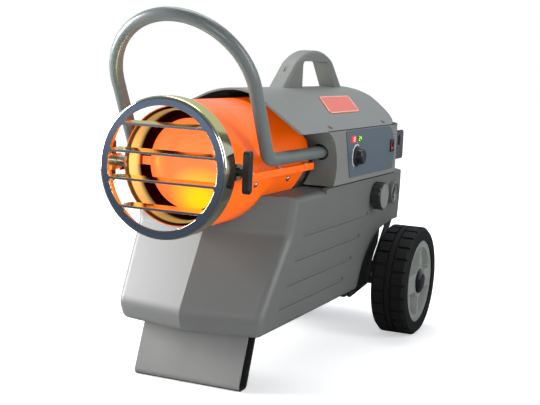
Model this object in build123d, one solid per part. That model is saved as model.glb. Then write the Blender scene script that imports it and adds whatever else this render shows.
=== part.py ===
"""Oil-fired forced air heater on two wheels: millimetres, +Z up, origin on the floor at mid-length.

Y is written as a distance behind the outlet grille's front face and X as a distance from the middle plane.
save() moves every piece back by half the length, so the outlet faces -Y and the controls are on +X.
"""
from build123d import *
from math import acos, atan, atan2, cos, degrees, pi, radians, sin, sqrt, tan
import os

os.makedirs("parts", exist_ok=True)

# ---------------------------------------------------------------- driving dimensions
overall_length = 826.0      # grille face to the ends of the cord hooks
axis_z = 370.0              # height of the drum, fan and motor axis
drum_r = 105.0              # outlet drum's outer radius
seat = 0.3                  # clearance between pieces that are bolted near each other
running = 0.05              # radial clearance of a shaft in its hole
cut_past = 1.0              # a cut runs this far past the face that it opens

# lengths of what stands in line on the axis, from the rear forwards
hook_reach = 36.0           # cord hooks behind the body
guard_inset = 48.0          # intake guard ahead of the body's rear face
pump_gap = 56.0             # free space behind the pump
pump_length = 46.0
motor_length = 118.0
fan_gap = 60.0              # fan's middle to the motor's front
shroud_gap = 17.0           # shroud's rear end to the motor's front
line_gap = 48.0             # fuel line to the fan's middle
line_run = 50.0             # fuel line's straight run behind the nozzle nut
nut_length = 8.0
burner_cup_length = 48.0
burner_inset = 22.0         # burner plate inside the flame tube's rear end
drum_rear_gap = 70.0        # drum's rear edge to the fuel line
shroud_lap = 108.0          # shroud inside the drum's rear

body_rear_y = overall_length - hook_reach
guard_y = body_rear_y - guard_inset
motor_front_y = guard_y - pump_gap - pump_length - motor_length
fan_y = motor_front_y - fan_gap
shroud_rear_y = motor_front_y - shroud_gap
line_y = fan_y - line_gap   # where the fuel line leaves through the shroud
burner_y = line_y - line_run - nut_length - burner_cup_length
drum_rear_y = line_y - drum_rear_gap
shroud_front_y = drum_rear_y - shroud_lap

# outlet grille
grille_overhang = 7.5       # ring's outer radius beyond the drum's
grille_rim = 14.5           # ring's flat face between its edge and the openings
grille_sheet = 1.5
band_depth = 33.0
grille_edge_r = 5.0
louvre_count = 4
louvre_depth = 21.0
louvre_bar = 2.4            # width of a bar seen from the front
louvre_lean = 12.0          # degrees that a louvre rises towards the rear
opening_corner_r = 5.0
arm_width = 26.0
arm_sheet = 2.5
pivot_inset = 2.0           # pivots behind the drum's front edge
pivot_r = 4.0
boss_r = 9.0
knob_bar_length = 68.0
knob_bar_width = 14.0
knob_bar_depth = 12.0
knob_neck_r = 7.0
knob_neck = 8.0

grille_r = drum_r + grille_overhang
grille_open_r = grille_r - grille_rim
louvre_pitch = 2 * grille_open_r / (louvre_count + 0.5)

# outlet drum: two sheet steel shells with side flanges
drum_sheet = 1.5
mouth_step = 8.0            # how much narrower the front edge is
mouth_gap = 17.0            # white gap between the ring's band and the drum
nose_length = 70.0
joint_drop = 7.0            # where the two shells meet, below the axis
flange_width = 11.0
flange_inset = 16.0         # flanges behind the front edge
flange_lip = 10.0
skirt_lean = 39.0           # degrees, slope of the lower shell's rear edge
skirt_inset = 14.0
screw_r = 2.0
screw_head_r = 4.5
screw_head_h = 3.0
shell_screw_front = 10.0    # first side screw behind the nose
shell_screw_rear = 84.0     # last side screw ahead of the rear edge
shell_screw_angle = 15.5    # degrees below the axis
flange_screw_inset = 29.0

mouth_r = drum_r - mouth_step
mouth_y = band_depth + mouth_gap
nose_end_y = mouth_y + nose_length
pivot_y = mouth_y + pivot_inset
joint_z = axis_z - joint_drop
flange_x = drum_r + flange_width
flange_front_y = mouth_y + flange_inset
flange_screw_ys = (
    flange_front_y + flange_screw_inset,
    (flange_front_y + drum_rear_y) / 2,
    drum_rear_y - flange_screw_inset,
)
shell_screw_ys = (nose_end_y + shell_screw_front, drum_rear_y - shell_screw_rear)

# combustion parts
flame_gap = 13.0            # between the drum and the flame tube
flame_sheet = 1.5
flame_inset = 4.0           # flame tube behind the drum's front edge
flame_lip = 3.0             # turned-in front edge
disc_gap = 17.0             # between the disc's edge and the flame tube
disc_rise = 20.0
disc_sheet = 2.0
disc_inset = 42.0
tab_width = 14.0            # tabs that carry one tube inside another
tab_length = 20.0
tab_insets = (84.0, 60.0)   # from the flame tube's front and rear ends
tab_count = 3
burner_cup_r = 36.0
burner_wall = 2.0
nozzle_r = 7.5
nozzle_reach = 6.0          # nozzle tip ahead of the burner plate
electrode_r = 1.5
electrode_reach = 26.0
ceramic_r = 4.0
ceramic_reach = 10.0
electrode_spread = 18.0
sensor_r = 7.0
sensor_depth = 8.0
shroud_sheet = 1.2

flame_r = drum_r - flame_gap
flame_mouth_r = flame_r - flame_lip
flame_front_y = mouth_y + flame_inset
flame_rear_y = burner_y + burner_inset
disc_r = flame_r - disc_gap
disc_y = flame_front_y + disc_inset

# fan, motor, pump and fuel line
fan_tip_gap = 6.0
fan_hub_r = 22.0
fan_blades = 6
fan_pitch = 32.0            # degrees
fan_width = 30.0
blade_sheet = 2.0
shaft_r = 5.0
shaft_end_gap = 2.0         # shaft's end to the pump's cover
motor_r = 43.0
motor_slots = 12
motor_slot = 3.0
pump_r = 31.0
pump_cover = 6.0
pump_port_r = 6.0
bracket_width = 64.0
line_r = 3.0
line_bend_r = 11.0
line_drop = 18.0            # below the axis where it leaves through the shroud
line_room = 22.0            # its descent beside the drum

fan_r = drum_r - drum_sheet - seat - shroud_sheet - fan_tip_gap
line_port_z = axis_z - line_drop
line_x = drum_r + line_room

# widths
tow_r = 11.0
tow_gap = 8.0               # between the drum and a leg of the tow handle
side_room = 20.0            # between a leg and the body's side
tank_half_bottom = 133.0

tow_half = drum_r + tow_gap + tow_r
half_width = tow_half + tow_r + side_room

# heights
deck_drop = 46.0            # tank's rim, which carries the housings, below the axis
deck_step = 4.5             # deck below the rim
seam_rise = 54.0            # hood's lower edge above the axis
hood_gap = 17.0             # crown's radius beyond the drum's
crown_rise = 1.0

tank_top_z = axis_z - deck_drop
deck_z = tank_top_z - deck_step
seam_z = axis_z + seam_rise
crown_r = drum_r + hood_gap
crown_z = axis_z + crown_rise
crown_top_z = crown_z + crown_r

# wheels and axle
wheel_r = 110.0
axle_inset = 130.0          # axle ahead of the body's rear
axle_r = 7.0
tyre_width = 70.0
wheel_gap = 10.0            # between a tyre and the body's side
tyre_height = 26.5
tyre_round = 6.0
tyre_seat = 4.0             # rim's edge inside the tyre's inner face
rim_wall = 3.0
rim_face_inset = 3.0        # rim's front face behind the tyre's
web_depth = 15.0
pocket_depth = 12.0
pocket_edge = 13.5          # flat band round the pockets
pocket_hub = 15.0           # flat round the hub
pocket_ribs = (38.0, 9.0)   # widths of the level and the upright ribs
pocket_round = 5.0
pocket_draft = 20.0         # degrees
hub_r = 16.0
hub_back = 8.0              # hub beyond the tyre's inner face
hub_cap_r = 25.5
hub_cap_depth = 9.0
tread_slots = 26
tread_slot_width = 5.0
tread_depth = 3.5
tread_groove = 3.0
tread_rib = 9.0             # plain rib round the middle
bracket_inset = 7.0         # cheeks inside the tank's bottom edge
bracket_sheet = 4.0
bracket_bar = 24.0
bracket_pad = 24.0
bracket_pad_length = 50.0
axle_tube_r = 10.0

axle_y = body_rear_y - axle_inset
rim_r = wheel_r - tyre_height
wheel_face_x = half_width + wheel_gap + tyre_width
bracket_x = tank_half_bottom - bracket_inset

# fuel tank, a blow-moulded shell with a trough for the drum
tank_bottom_z = 93.0
tank_wall = 4.0
prow_inset = 22.0           # front ridge's tip behind the drum's front edge
prow_toe = 11.0             # ridge's foot behind its tip
prow_tip_rise = 34.0
prow_brow_back = 78.0
prow_brow_drop = 66.0
prow_top_back = 4.0
prow_sweep = 12.0           # degrees that each front facet falls back
prow_round = 24.0
corner_round = 16.0         # front corner between a facet and a side
keel_round = 16.0           # bottom side edge
tank_rear_round = 60.0
trough_gap = 0.8            # also the radius of the rear intake, beyond the drum's
arch_front_gap = 98.0       # wheel arch cut through the lower rear
arch_foot = 4.0
arch_mid_gap = (74.0, 58.0)
arch_crown_gap = (5.0, 101.0)
arch_rear_rise = 110.0
arch_rear_run = 60.0
groove_rises = (159.0, 119.0, 79.0, 42.0)
groove_front_gap = 78.0
groove_front_step = -22.0
groove_rear_gap = 100.0
groove_rear_step = -30.0
groove_height = 9.0
groove_depth = 2.2
drain_gap = 60.0
drain_r = 8.0
rim_width = 8.0
rim_gap = 30.0              # rim's front end ahead of the scoop's foot
shoulder_round = 14.0

prow_tip_y = mouth_y + prow_inset
prow_tip_z = tank_bottom_z + prow_tip_rise
prow_toe_y = prow_tip_y + prow_toe
prow_brow_y = prow_tip_y + prow_brow_back
prow_brow_z = tank_top_z - prow_brow_drop
prow_top_y = prow_brow_y + prow_top_back
trough_r = drum_r + trough_gap
tank_draft = (half_width - tank_half_bottom) / (tank_top_z - tank_bottom_z)
arch_front_y = axle_y - arch_front_gap
arch_mid = (axle_y - arch_mid_gap[0], wheel_r + arch_mid_gap[1])
arch_crown = (axle_y - arch_crown_gap[0], wheel_r + arch_crown_gap[1])
arch_rear_z = wheel_r + arch_rear_rise
groove_front_y = prow_top_y + groove_front_gap
groove_rear_y = axle_y - groove_rear_gap

# filler, cap and gauge on the +X side
gauge_inset = 102.0         # gauge ahead of the body's rear
gauge_drop = 42.0           # gauge below the tank's top
gauge_r = 22.5
gauge_depth = 9.0
gauge_rim = 2.5
float_arm_length = 62.0
float_r = 9.0
float_length = 36.0
float_gap = 8.0
needle_width = 1.6
needle_sheet = 1.4
filler_gap = 104.0          # filler ahead of the gauge
filler_drop = 38.0
neck_r = 20.0
neck_wall = 3.5
neck_seat = 4.0             # neck inside the tank's wall
cap_gap = 1.5
cap_skirt = 6.0
cap_depth = 19.0
cap_wall = 5.0
cap_edge = 3.0
cap_flutes = 14
cap_flute_r = 3.6

gauge_y = body_rear_y - gauge_inset
gauge_z = tank_top_z - gauge_drop
filler_y = gauge_y - filler_gap
filler_z = tank_top_z - filler_drop
neck_bore_r = neck_r - neck_wall
cap_r = neck_r + cap_gap + cap_skirt

# side housings between the tank and the hood, with a scoop at the front
cover_wall = 3.5
housing_corner_r = 110.0
scoop_gap = 1.0             # scoop's foot behind the drum's rear edge
scoop_belly = 11.0
scoop_lean = 45.0
scoop_mid_rise = 2.0
drum_clear = 1.5
bush_wall = 4.0
sleeve_wall = 2.5
bush_length = 24.0
bush_inset = 2.0            # bush behind the scoop's face

scoop_foot_y = drum_rear_y + scoop_gap
rim_front_y = scoop_foot_y - rim_gap
scoop_mid = (scoop_foot_y + scoop_belly, axis_z + scoop_mid_rise)
scoop_top_y = scoop_foot_y - scoop_lean
bush_r = tow_r + bush_wall
bush_y = scoop_mid[0] + bush_inset
sleeve_r = bush_r + sleeve_wall

# hood over the drum's rear half, the fan and the motor
hood_lip_low_gap = 105.0    # lower corner of the lip ahead of the scoop
hood_lip_lean = 48.0
hood_corner_flat = 5.0      # half of the straight rear edge between its corners
hood_rear_round = 60.0
hood_round_rise = 5.0       # rear round's tangent above the crown
lug_inset = 10.0            # lugs for the screws that hold the hood
lug_front_gap = 40.0
lug_rear_gap = 160.0
lug_half = 6.0
lug_depth = 20.0

hood_corner_r = half_width - hood_corner_flat
hood_lip_low_y = scoop_top_y - hood_lip_low_gap
hood_lip_high_y = hood_lip_low_y + hood_lip_lean
lug_x = half_width - lug_inset
lug_ys = (scoop_top_y + lug_front_gap, body_rear_y - lug_rear_gap)
flank_span = sqrt(half_width**2 + (seam_z - crown_z) ** 2)
flank_tilt = atan2(half_width, seam_z - crown_z) - acos(crown_r / flank_span)

# carry handle on the hood
carry_half = 17.5
carry_length = 311.0
carry_inset = 1.0           # rear foot ahead of the hood's rear round
carry_rise = 71.5           # highest point above the crown
carry_apex_run = 147.0
carry_foot_drop = 4.0
carry_front_run = 64.0
carry_front_rise = 48.0
carry_rear_run = 64.0
carry_rear_rise = 53.0
carry_round = 45.0
grip_front_wall = 26.0
grip_rear_wall = 25.0
grip_rear_lean = 50.0
grip_top_wall = 21.5
grip_sill = 7.0
grip_round = 10.0
carry_edge_r = 7.0
notch_gap = (20.0, 9.0)     # notch in the front slope, from the front shoulder
notch_size = (7.0, 18.0, 13.0)

carry_foot_rear_y = body_rear_y - hood_rear_round - carry_inset
carry_foot_front_y = carry_foot_rear_y - carry_length
carry_top_z = crown_top_z + carry_rise
carry_top_front_y = carry_foot_front_y + carry_front_run
carry_top_rear_y = carry_foot_rear_y - carry_rear_run
grip_front_y = carry_top_front_y + grip_front_wall
grip_rear_y = carry_top_rear_y - grip_rear_wall
grip_low_z = crown_top_z - grip_sill
grip_high_z = carry_top_z - grip_top_wall

# bare plate on the hood's flank
badge_length = 160.0
badge_height = 56.0
badge_shear = 60.0
badge_sheet = 1.2
badge_gap = 117.0           # plate's middle behind the carry handle's front foot
badge_inset = 69.0
badge_round = 9.0

badge_y = carry_foot_front_y + badge_gap
badge_x = half_width - badge_inset

# control panel on the +X housing
panel_sheet = 1.5
panel_top_gap = 3.0
panel_bottom_gap = 10.0
panel_front_gap = 49.0      # panel behind the scoop's foot
panel_front_lean = 30.0
panel_rear_rise = 4.0
panel_rear_top_back = 38.0
panel_rear_bottom_back = 12.0
panel_round = 4.0
window_length = 27.0
window_height = 13.0
window_drop = 16.0
window_gaps = (40.0, 74.0)
window_proud = 0.6
window_round = 2.0
dial_gap = 60.0
dial_rise = 2.0
dial_r = 18.5
dial_grip_r = 14.5
dial_skirt = 2.5
dial_edge = 2.0
dial_depth = 15.0
dial_flutes = 12
dial_flute_r = 1.6
dial_room = 1.0             # round the stem in the wall and the panel
dial_shaft_r = 3.0
dial_body = 30.0
dial_body_depth = 12.0
switch_gap = 20.0           # rocker switch ahead of the panel's rear end
switch_rise = 11.0
switch_height = 20.0
switch_width = 14.0
switch_tilt = 8.0
switch_rim = 2.5
switch_wall = 1.5
switch_depth = 14.0
rocker_gap = 0.4
rocker_end_gap = 1.2
rocker_pivot = 4.0          # rocker's axis behind the panel's face
rocker_xs = (-7.0, 2.0, 5.5, 3.2)
board_gap = 24.0            # control board behind the wall
board_front_gap = 62.0
board_length = 104.0
board_height = 80.0
board_sheet = 1.6
relays = ((10.0, 18.0, 26.0), (36.0, 14.0, 18.0), (62.0, 10.0, 12.0))
relay_depth = 9.0
relay_rise = 12.0
transformer_size = (32.0, 80.0, 42.0)
transformer_gap = 6.0
transformer_lap = 2.0       # its front ahead of the motor's
transformer_edge = 3.0

panel_top_z = seam_z - panel_top_gap
panel_bottom_z = tank_top_z + panel_bottom_gap
panel_front_top_y = scoop_foot_y + panel_front_gap
panel_front_bottom_y = panel_front_top_y + panel_front_lean
panel_rear_y = body_rear_y - housing_corner_r
panel_rear_top_y = panel_rear_y - panel_rear_top_back
panel_rear_bottom_y = panel_rear_y - panel_rear_bottom_back
window_z = panel_top_z - window_drop
window_ys = [panel_front_top_y + gap for gap in window_gaps]
dial_y = panel_front_top_y + dial_gap
dial_z = axis_z + dial_rise
switch_y = panel_rear_y - switch_gap
switch_z = axis_z + switch_rise

# telescopic tow handle
tow_wall = 1.8
tow_rise_z = 14.0           # legs above the drum's axis
tow_bend_gap = 7.0          # bend behind the drum's nose
tow_bend_r = 26.0
tow_lean = 27.5             # degrees forward of upright
tow_leg = 127.0             # straight part of each leg
tow_inside = 155.0          # leg's inner end behind the scoop's foot
tow_travel = 70.0
tow_dimple_gap = 85.0
tow_dimple_r = 3.0
guide_length = 40.0
guide_inset = 10.0
guide_wall = 3.0
guide_cap = 4.0
guide_top = 8.0

tow_z = axis_z + tow_rise_z
tow_bend_y = nose_end_y + tow_bend_gap
tow_inner_y = scoop_foot_y + tow_inside
tow_dimple_y = tow_bend_y + tow_dimple_gap
tow_rise = tow_leg + tow_half

# folded sheet front foot
foot_half = 99.0
foot_sheet = 3.0
foot_lean = 20.0            # degrees
foot_toe_gap = 18.0         # behind the tank's toe
foot_depth = 34.0
foot_bend_r = 9.0
foot_tab = 22.0

foot_toe_y = prow_toe_y + foot_toe_gap

# rear guard, hooks for the mains lead and its gland
guard_rim = 2.0
guard_band = (12.0, 3.0)    # rim ahead of and behind the wires
guard_wire_r = 1.5
guard_eye = 14.0
guard_rings = 7
guard_spokes = 8
hook_inset = 29.0
hook_sheet = 3.0
hook_top_gap = 19.0
hook_bottom_gap = 19.0
hook_round = (6.0, 10.0)
hook_slot = (26.0, 15.0)
hook_slot_back = 30.0
hook_slot_rise = 8.0
hook_turn = 16.0
hook_turn_trim = (8.0, 12.0)
gland_inset = 47.0
gland_rise = 24.0
gland_r = 10.0
gland_bore_r = 4.0
gland_reach = 14.0
gland_root = 16.0

hook_x = half_width - hook_inset
hook_top_z = seam_z - hook_top_gap
hook_bottom_z = tank_top_z + hook_bottom_gap
gland_x = half_width - gland_inset
gland_z = tank_top_z + gland_rise

# ---------------------------------------------------------------- worked-out places
drum_axis = Axis((0, 0, axis_z), (0, 1, 0))
arm_x = sqrt((grille_r - grille_sheet) ** 2 - (arm_width / 2) ** 2)
line_fall = (axis_z - line_port_z) / drum_r
line_angle = -degrees(pi / 2 + atan(line_fall))


def tank_side_x(z):
    """Half width of the tank at a height: its sides lean outwards."""
    return tank_half_bottom + tank_draft * (z - tank_bottom_z)


# ---------------------------------------------------------------- shared operations
def save(shape, name):
    """Writes one piece with the model's origin at the middle of its length."""
    shift = Pos(0, -overall_length / 2, 0)
    export_step(Compound([shift * solid for solid in shape.solids()]), f"parts/{name}.step")


def plate(*points):
    """A flat face with straight edges."""
    return make_face(Polyline(*points, close=True))


def softened(face, *corners):
    """The face with chosen corners rounded: each entry is a point and a radius."""
    for point, radius in corners:
        corner = face.vertices().sort_by_distance((*point, 0))[0]
        face = fillet(corner, radius)
    return face


def along_x(face, start, end):
    """A (Y, Z) outline carried along X."""
    return extrude(Plane.YZ.offset(start) * face, end - start)


def along_y(face, start, end):
    """An (X, Z) outline carried along Y."""
    return extrude(Plane.XZ.offset(-start) * face, start - end)


def along_z(face, start, end):
    """An (X, Y) outline carried along Z."""
    return extrude(Plane.XY.offset(start) * face, end - start)


def turned_on_drum_axis(*points):
    """A ring about the drum's axis from (radius, y) points."""
    return revolve(Pos(0, 0, axis_z) * plate(*points), axis=drum_axis)


def turned_on_x(y, z, *points):
    """A round piece about a line along X from (x, radius) points."""
    return Pos(0, y, z) * revolve(plate(*points), axis=Axis.X)


def rod_x(radius, start, end, y, z):
    """A round bar along X."""
    return along_x(Pos(y, z) * Circle(radius), start, end)


def rod_y(radius, start, end, x, z):
    """A round bar along Y."""
    return along_y(Pos(x, z) * Circle(radius), start, end)


def block(x0, x1, y0, y1, z0, z1):
    """A box between two corners."""
    return along_z(plate((x0, y0), (x1, y0), (x1, y1), (x0, y1)), z0, z1)


def both_sides(shape):
    """The shape and its mirror image across the middle plane."""
    return Compound([*shape.solids(), *other_side(shape).solids()])


def other_side(shape):
    """The mirror image across the middle plane."""
    return mirror(shape, about=Plane.YZ)


# ---------------------------------------------------------------- outlet drum
def drum_skin(outer, inner):
    """The drum's sheet between two offsets from its outer face."""
    return turned_on_drum_axis(
        (mouth_r + inner, mouth_y),
        (mouth_r + outer, mouth_y),
        (drum_r + outer, nose_end_y),
        (drum_r + outer, drum_rear_y),
        (drum_r + inner, drum_rear_y),
        (drum_r + inner, nose_end_y),
    )


def drum_core(offset):
    """Everything inside the drum's outer face, moved by an offset."""
    return turned_on_drum_axis(
        (0, mouth_y),
        (mouth_r + offset, mouth_y),
        (drum_r + offset, nose_end_y),
        (drum_r + offset, drum_rear_y),
        (0, drum_rear_y),
    )


def screw(length):
    """A pan-head screw along Z, its head's underside at the origin."""
    head = Pos(0, 0, screw_head_h / 2) * Cylinder(screw_head_r, screw_head_h)
    head = chamfer(head.edges().group_by(Axis.Z)[-1], screw_head_h / 3)
    return head + Pos(0, 0, -length / 2) * Cylinder(screw_r, length)


def gathered(shapes):
    """All the solids of several shapes as one node."""
    return Compound([solid for shape in shapes for solid in shape.solids()])


def flange_screw_places():
    """Where screws clamp the two flanges, on top of the upper one."""
    middle = (drum_r + flange_x) / 2
    return [Pos(side * middle, y, joint_z + drum_sheet) for side in (-1, 1) for y in flange_screw_ys]


def shell_screw_places():
    """Where screws hold the lower shell's sides, square to its curve."""
    places = []
    for y in shell_screw_ys:
        for side in (-1, 1):
            turn = Pos(0, y, axis_z) * Rot(0, side * (90 + shell_screw_angle), 0)
            places.append(turn * Pos(0, 0, drum_r))
    return places


def drum_flange(low, high):
    """The flat strips that stand out of both sides of a shell."""
    strip = block(drum_r / 2, flange_x, flange_front_y, drum_rear_y, low, high)
    return strip - drum_core(-drum_sheet)


def make_drum():
    skin = drum_skin(0, -drum_sheet)
    reach = drum_r * 2
    above = block(-reach, reach, 0, reach * 2, joint_z, axis_z + reach)
    below = block(-reach, reach, 0, reach * 2, axis_z - reach, joint_z)
    holes = [place * Cylinder(screw_r + running, drum_sheet * 6) for place in flange_screw_places()]

    upper_strip = drum_flange(joint_z, joint_z + drum_sheet)
    upper = (skin & above) + upper_strip + other_side(upper_strip) - holes

    lower_strip = drum_flange(joint_z - drum_sheet, joint_z)
    lip_face = plate(
        (flange_x - drum_sheet, joint_z - flange_lip),
        (flange_x, joint_z - flange_lip),
        (flange_x, joint_z),
        (flange_x - drum_sheet, joint_z),
    )
    lip = along_y(lip_face, flange_front_y, drum_rear_y)
    lower = (skin & below) + lower_strip + other_side(lower_strip) + lip + other_side(lip) - holes
    slope = tan(radians(skirt_lean))
    skirt_y = drum_rear_y - skirt_inset
    low_z = axis_z - drum_r * 1.2
    skirt_top_z = joint_z - flange_lip
    behind_skirt = plate(
        (skirt_y, skirt_top_z),
        (skirt_y - slope * (skirt_top_z - low_z), low_z),
        (drum_rear_y + drum_r, low_z),
        (drum_rear_y + drum_r, skirt_top_z),
    )
    lower -= along_x(behind_skirt, -drum_r * 1.05, drum_r * 1.05)
    lower -= [place * Cylinder(screw_r + running, drum_sheet * 4) for place in shell_screw_places()]

    screws = [place * screw(drum_sheet * 2 + screw_head_h) for place in flange_screw_places()]
    screws += [place * screw(drum_sheet) for place in shell_screw_places()]
    save(upper, "drum_upper_shell")
    save(lower, "drum_lower_shell")
    save(gathered(screws), "drum_screws")


def make_shroud():
    outer = drum_r - drum_sheet - seat
    inner = outer - shroud_sheet
    shroud = turned_on_drum_axis(
        (inner, shroud_front_y), (outer, shroud_front_y), (outer, shroud_rear_y), (inner, shroud_rear_y)
    )
    along_line = Rot(0, line_angle, 0)
    hole = along_line * Cylinder(line_r + seat, drum_r * 1.2, align=(Align.CENTER, Align.CENTER, Align.MIN))
    save(shroud - Pos(0, line_y, axis_z) * hole, "fan_shroud")


# ---------------------------------------------------------------- outlet grille
def grille_openings():
    """The five rounded openings between the louvre bars."""
    edges = [louvre_pitch * (i - (louvre_count - 1) / 2) for i in range(louvre_count)]
    starts = [-grille_open_r, *[edge + louvre_bar / 2 for edge in edges]]
    ends = [*[edge - louvre_bar / 2 for edge in edges], grille_open_r]
    openings = []
    for low, high in zip(starts, ends):
        strip = Pos(0, (low + high) / 2) * Rectangle(grille_r * 2, high - low)
        gap_face = Circle(grille_open_r) & strip
        openings.append(Pos(0, axis_z) * fillet(gap_face.vertices(), opening_corner_r))
    return openings


def make_grille():
    profile = plate(
        (grille_open_r - louvre_bar, 0),
        (grille_r, 0),
        (grille_r, band_depth),
        (grille_r - grille_sheet, band_depth),
        (grille_r - grille_sheet, grille_sheet),
        (grille_open_r - louvre_bar, grille_sheet),
    )
    profile = softened(
        profile,
        ((grille_r, 0), grille_edge_r),
        ((grille_r - grille_sheet, grille_sheet), grille_edge_r - grille_sheet),
    )
    ring = revolve(Pos(0, 0, axis_z) * profile, axis=drum_axis)
    for opening in grille_openings():
        ring -= along_y(opening, -cut_past, grille_sheet + cut_past)

    louvres = []
    for i in range(louvre_count):
        height = louvre_pitch * (i - (louvre_count - 1) / 2)
        half = sqrt(grille_open_r**2 - height**2) - opening_corner_r * 0.2
        blade = Box(half * 2, louvre_depth, louvre_bar / 1.6, align=(Align.CENTER, Align.MIN, Align.CENTER))
        blade = fillet(blade.edges().filter_by(Axis.Z).group_by(Axis.Y)[-1], louvre_depth / 2)
        louvres.append(Pos(0, grille_sheet, axis_z + height) * Rot(louvre_lean, 0, 0) * blade)
    bars = []
    for i in range(louvre_count):
        height = axis_z + louvre_pitch * (i - (louvre_count - 1) / 2)
        half = sqrt(grille_open_r**2 - (height - axis_z) ** 2)
        bars.append(block(-half, half, 0, grille_sheet, height - louvre_bar / 2, height + louvre_bar / 2))
    save(ring, "grille_ring")
    save(gathered([bar + blade - ring for bar, blade in zip(bars, louvres)]), "grille_louvres")


def make_arms():
    front = grille_edge_r + arm_sheet
    face = plate(
        (front, axis_z - arm_width / 2),
        (pivot_y, axis_z - arm_width / 2),
        (pivot_y, axis_z + arm_width / 2),
        (front, axis_z + arm_width / 2),
    )
    face += Pos(pivot_y, axis_z) * Circle(arm_width / 2)
    face -= Pos(pivot_y, axis_z) * Circle(pivot_r + seat)
    arm = along_x(face, arm_x - arm_sheet, arm_x)
    save(both_sides(arm), "grille_arms")

    root = mouth_r - boss_r / 2
    boss = rod_x(boss_r, root, arm_x - arm_sheet - seat, pivot_y, axis_z)
    boss += rod_x(boss_r, root, arm_x - arm_sheet - seat, pivot_y + boss_r / 2, axis_z)
    boss -= drum_core(0)
    boss -= rod_x(pivot_r + running, 0, grille_r, pivot_y, axis_z)
    save(both_sides(boss), "pivot_bosses")


def make_clamp_knob():
    neck_start = arm_x + seat
    neck_end = neck_start + knob_neck
    bar_face = Pos(pivot_y, axis_z) * SlotOverall(knob_bar_length, knob_bar_width, rotation=90)
    bar = along_x(bar_face, neck_end, neck_end + knob_bar_depth)
    bar = fillet(bar.edges().group_by(Axis.X)[-1], knob_bar_depth / 4)
    knob = bar + rod_x(knob_neck_r, neck_start, neck_end, pivot_y, axis_z)
    knob += rod_x(pivot_r, mouth_r + drum_sheet, neck_end, pivot_y, axis_z)
    save(knob, "clamp_knob_right")
    save(other_side(knob), "clamp_knob_left")


# ---------------------------------------------------------------- combustion chamber
def stand_offs(inner, outer, y, width, length):
    """Small tabs that carry one tube inside another."""
    sleeve = turned_on_drum_axis((inner, y), (outer, y), (outer, y + length), (inner, y + length))
    tabs = []
    for i in range(tab_count):
        turn = Pos(0, 0, axis_z) * Rot(0, 30 + i * 360 / tab_count, 0)
        bar = turn * Pos(0, y + length / 2, outer / 2) * Box(width, length * 2, outer * 1.2)
        tabs += (sleeve & bar).solids()
    return tabs


def make_flame_parts():
    inner = flame_r - flame_sheet
    shoulder = flame_front_y + (flame_r - flame_mouth_r) / 2
    tube = turned_on_drum_axis(
        (flame_mouth_r, flame_front_y),
        (flame_r, shoulder),
        (flame_r, flame_rear_y),
        (inner, flame_rear_y),
        (inner, shoulder + flame_sheet),
        (flame_mouth_r, flame_front_y + flame_sheet * 1.5),
    )
    root = inner + flame_sheet / 2
    front_reach = drum_r - drum_sheet
    rear_reach = front_reach - seat - shroud_sheet
    tube += stand_offs(root, front_reach, flame_front_y + tab_insets[0], tab_width, tab_length)
    tube += stand_offs(root, rear_reach, flame_rear_y - tab_insets[1], tab_width, tab_length)
    save(tube, "flame_tube")

    front_y = disc_y - disc_rise
    rise = disc_rise * 0.64
    front = ThreePointArc((0, front_y), (disc_r * 0.6, disc_y - rise), (disc_r, disc_y))
    edge = Line((disc_r, disc_y), (disc_r, disc_y + disc_sheet))
    back = ThreePointArc(
        (disc_r, disc_y + disc_sheet), (disc_r * 0.6, disc_y + disc_sheet - rise), (0, front_y + disc_sheet)
    )
    profile = make_face(front + edge + back + Line((0, front_y + disc_sheet), (0, front_y)))
    disc = revolve(Pos(0, 0, axis_z) * profile, axis=drum_axis)
    disc += stand_offs(disc_r - disc_sheet / 2, inner, disc_y, tab_width, disc_sheet)
    save(disc, "flame_disc")


def electrode_places():
    """The two igniter rods, side by side above the nozzle."""
    return [Pos(side * electrode_spread, 0, axis_z + electrode_spread) for side in (-1, 1)]


def make_burner():
    inner = flame_r - flame_sheet
    cup_rear = burner_y + burner_cup_length
    wall = burner_wall
    head = turned_on_drum_axis(
        (nozzle_r + running, burner_y),
        (inner, burner_y),
        (inner, burner_y + wall),
        (burner_cup_r, burner_y + wall),
        (burner_cup_r, cup_rear),
        (nozzle_r + running, cup_rear),
        (nozzle_r + running, cup_rear - wall),
        (burner_cup_r - wall, cup_rear - wall),
        (burner_cup_r - wall, burner_y + wall),
        (nozzle_r + running, burner_y + wall),
    )
    rods = []
    for place in electrode_places():
        sleeve = place * rod_y(ceramic_r, burner_y - ceramic_reach, cup_rear + ceramic_reach, 0, 0)
        tip = burner_y - electrode_reach
        rods += [sleeve + place * rod_y(electrode_r, tip, cup_rear + ceramic_reach + ceramic_r, 0, 0)]
        head -= place * rod_y(ceramic_r, burner_y - wall, cup_rear + wall, 0, 0)
    sensor_place = Pos(0, 0, axis_z - burner_cup_r * 0.62)
    eye_front = cup_rear - wall - sensor_depth
    eye = sensor_place * rod_y(sensor_r, eye_front, cup_rear + sensor_r * 2, 0, 0)
    eye = chamfer(eye.edges().group_by(Axis.Y)[-1], sensor_r / 3)
    head -= sensor_place * rod_y(sensor_r, eye_front, cup_rear + wall, 0, 0)
    save(head, "burner_head")
    save(gathered(rods), "igniter_electrodes")
    save(eye, "flame_sensor")

    tip = burner_y - nozzle_reach
    rear = cup_rear + wall
    nozzle = turned_on_drum_axis(
        (0, tip), (nozzle_r * 0.4, tip), (nozzle_r, tip + nozzle_r / 2), (nozzle_r, rear), (0, rear)
    )
    hexagon = Pos(0, axis_z) * RegularPolygon(nozzle_r * 1.5, 6)
    nozzle += along_y(hexagon, cup_rear, cup_rear + nut_length)
    save(nozzle, "fuel_nozzle")


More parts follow.
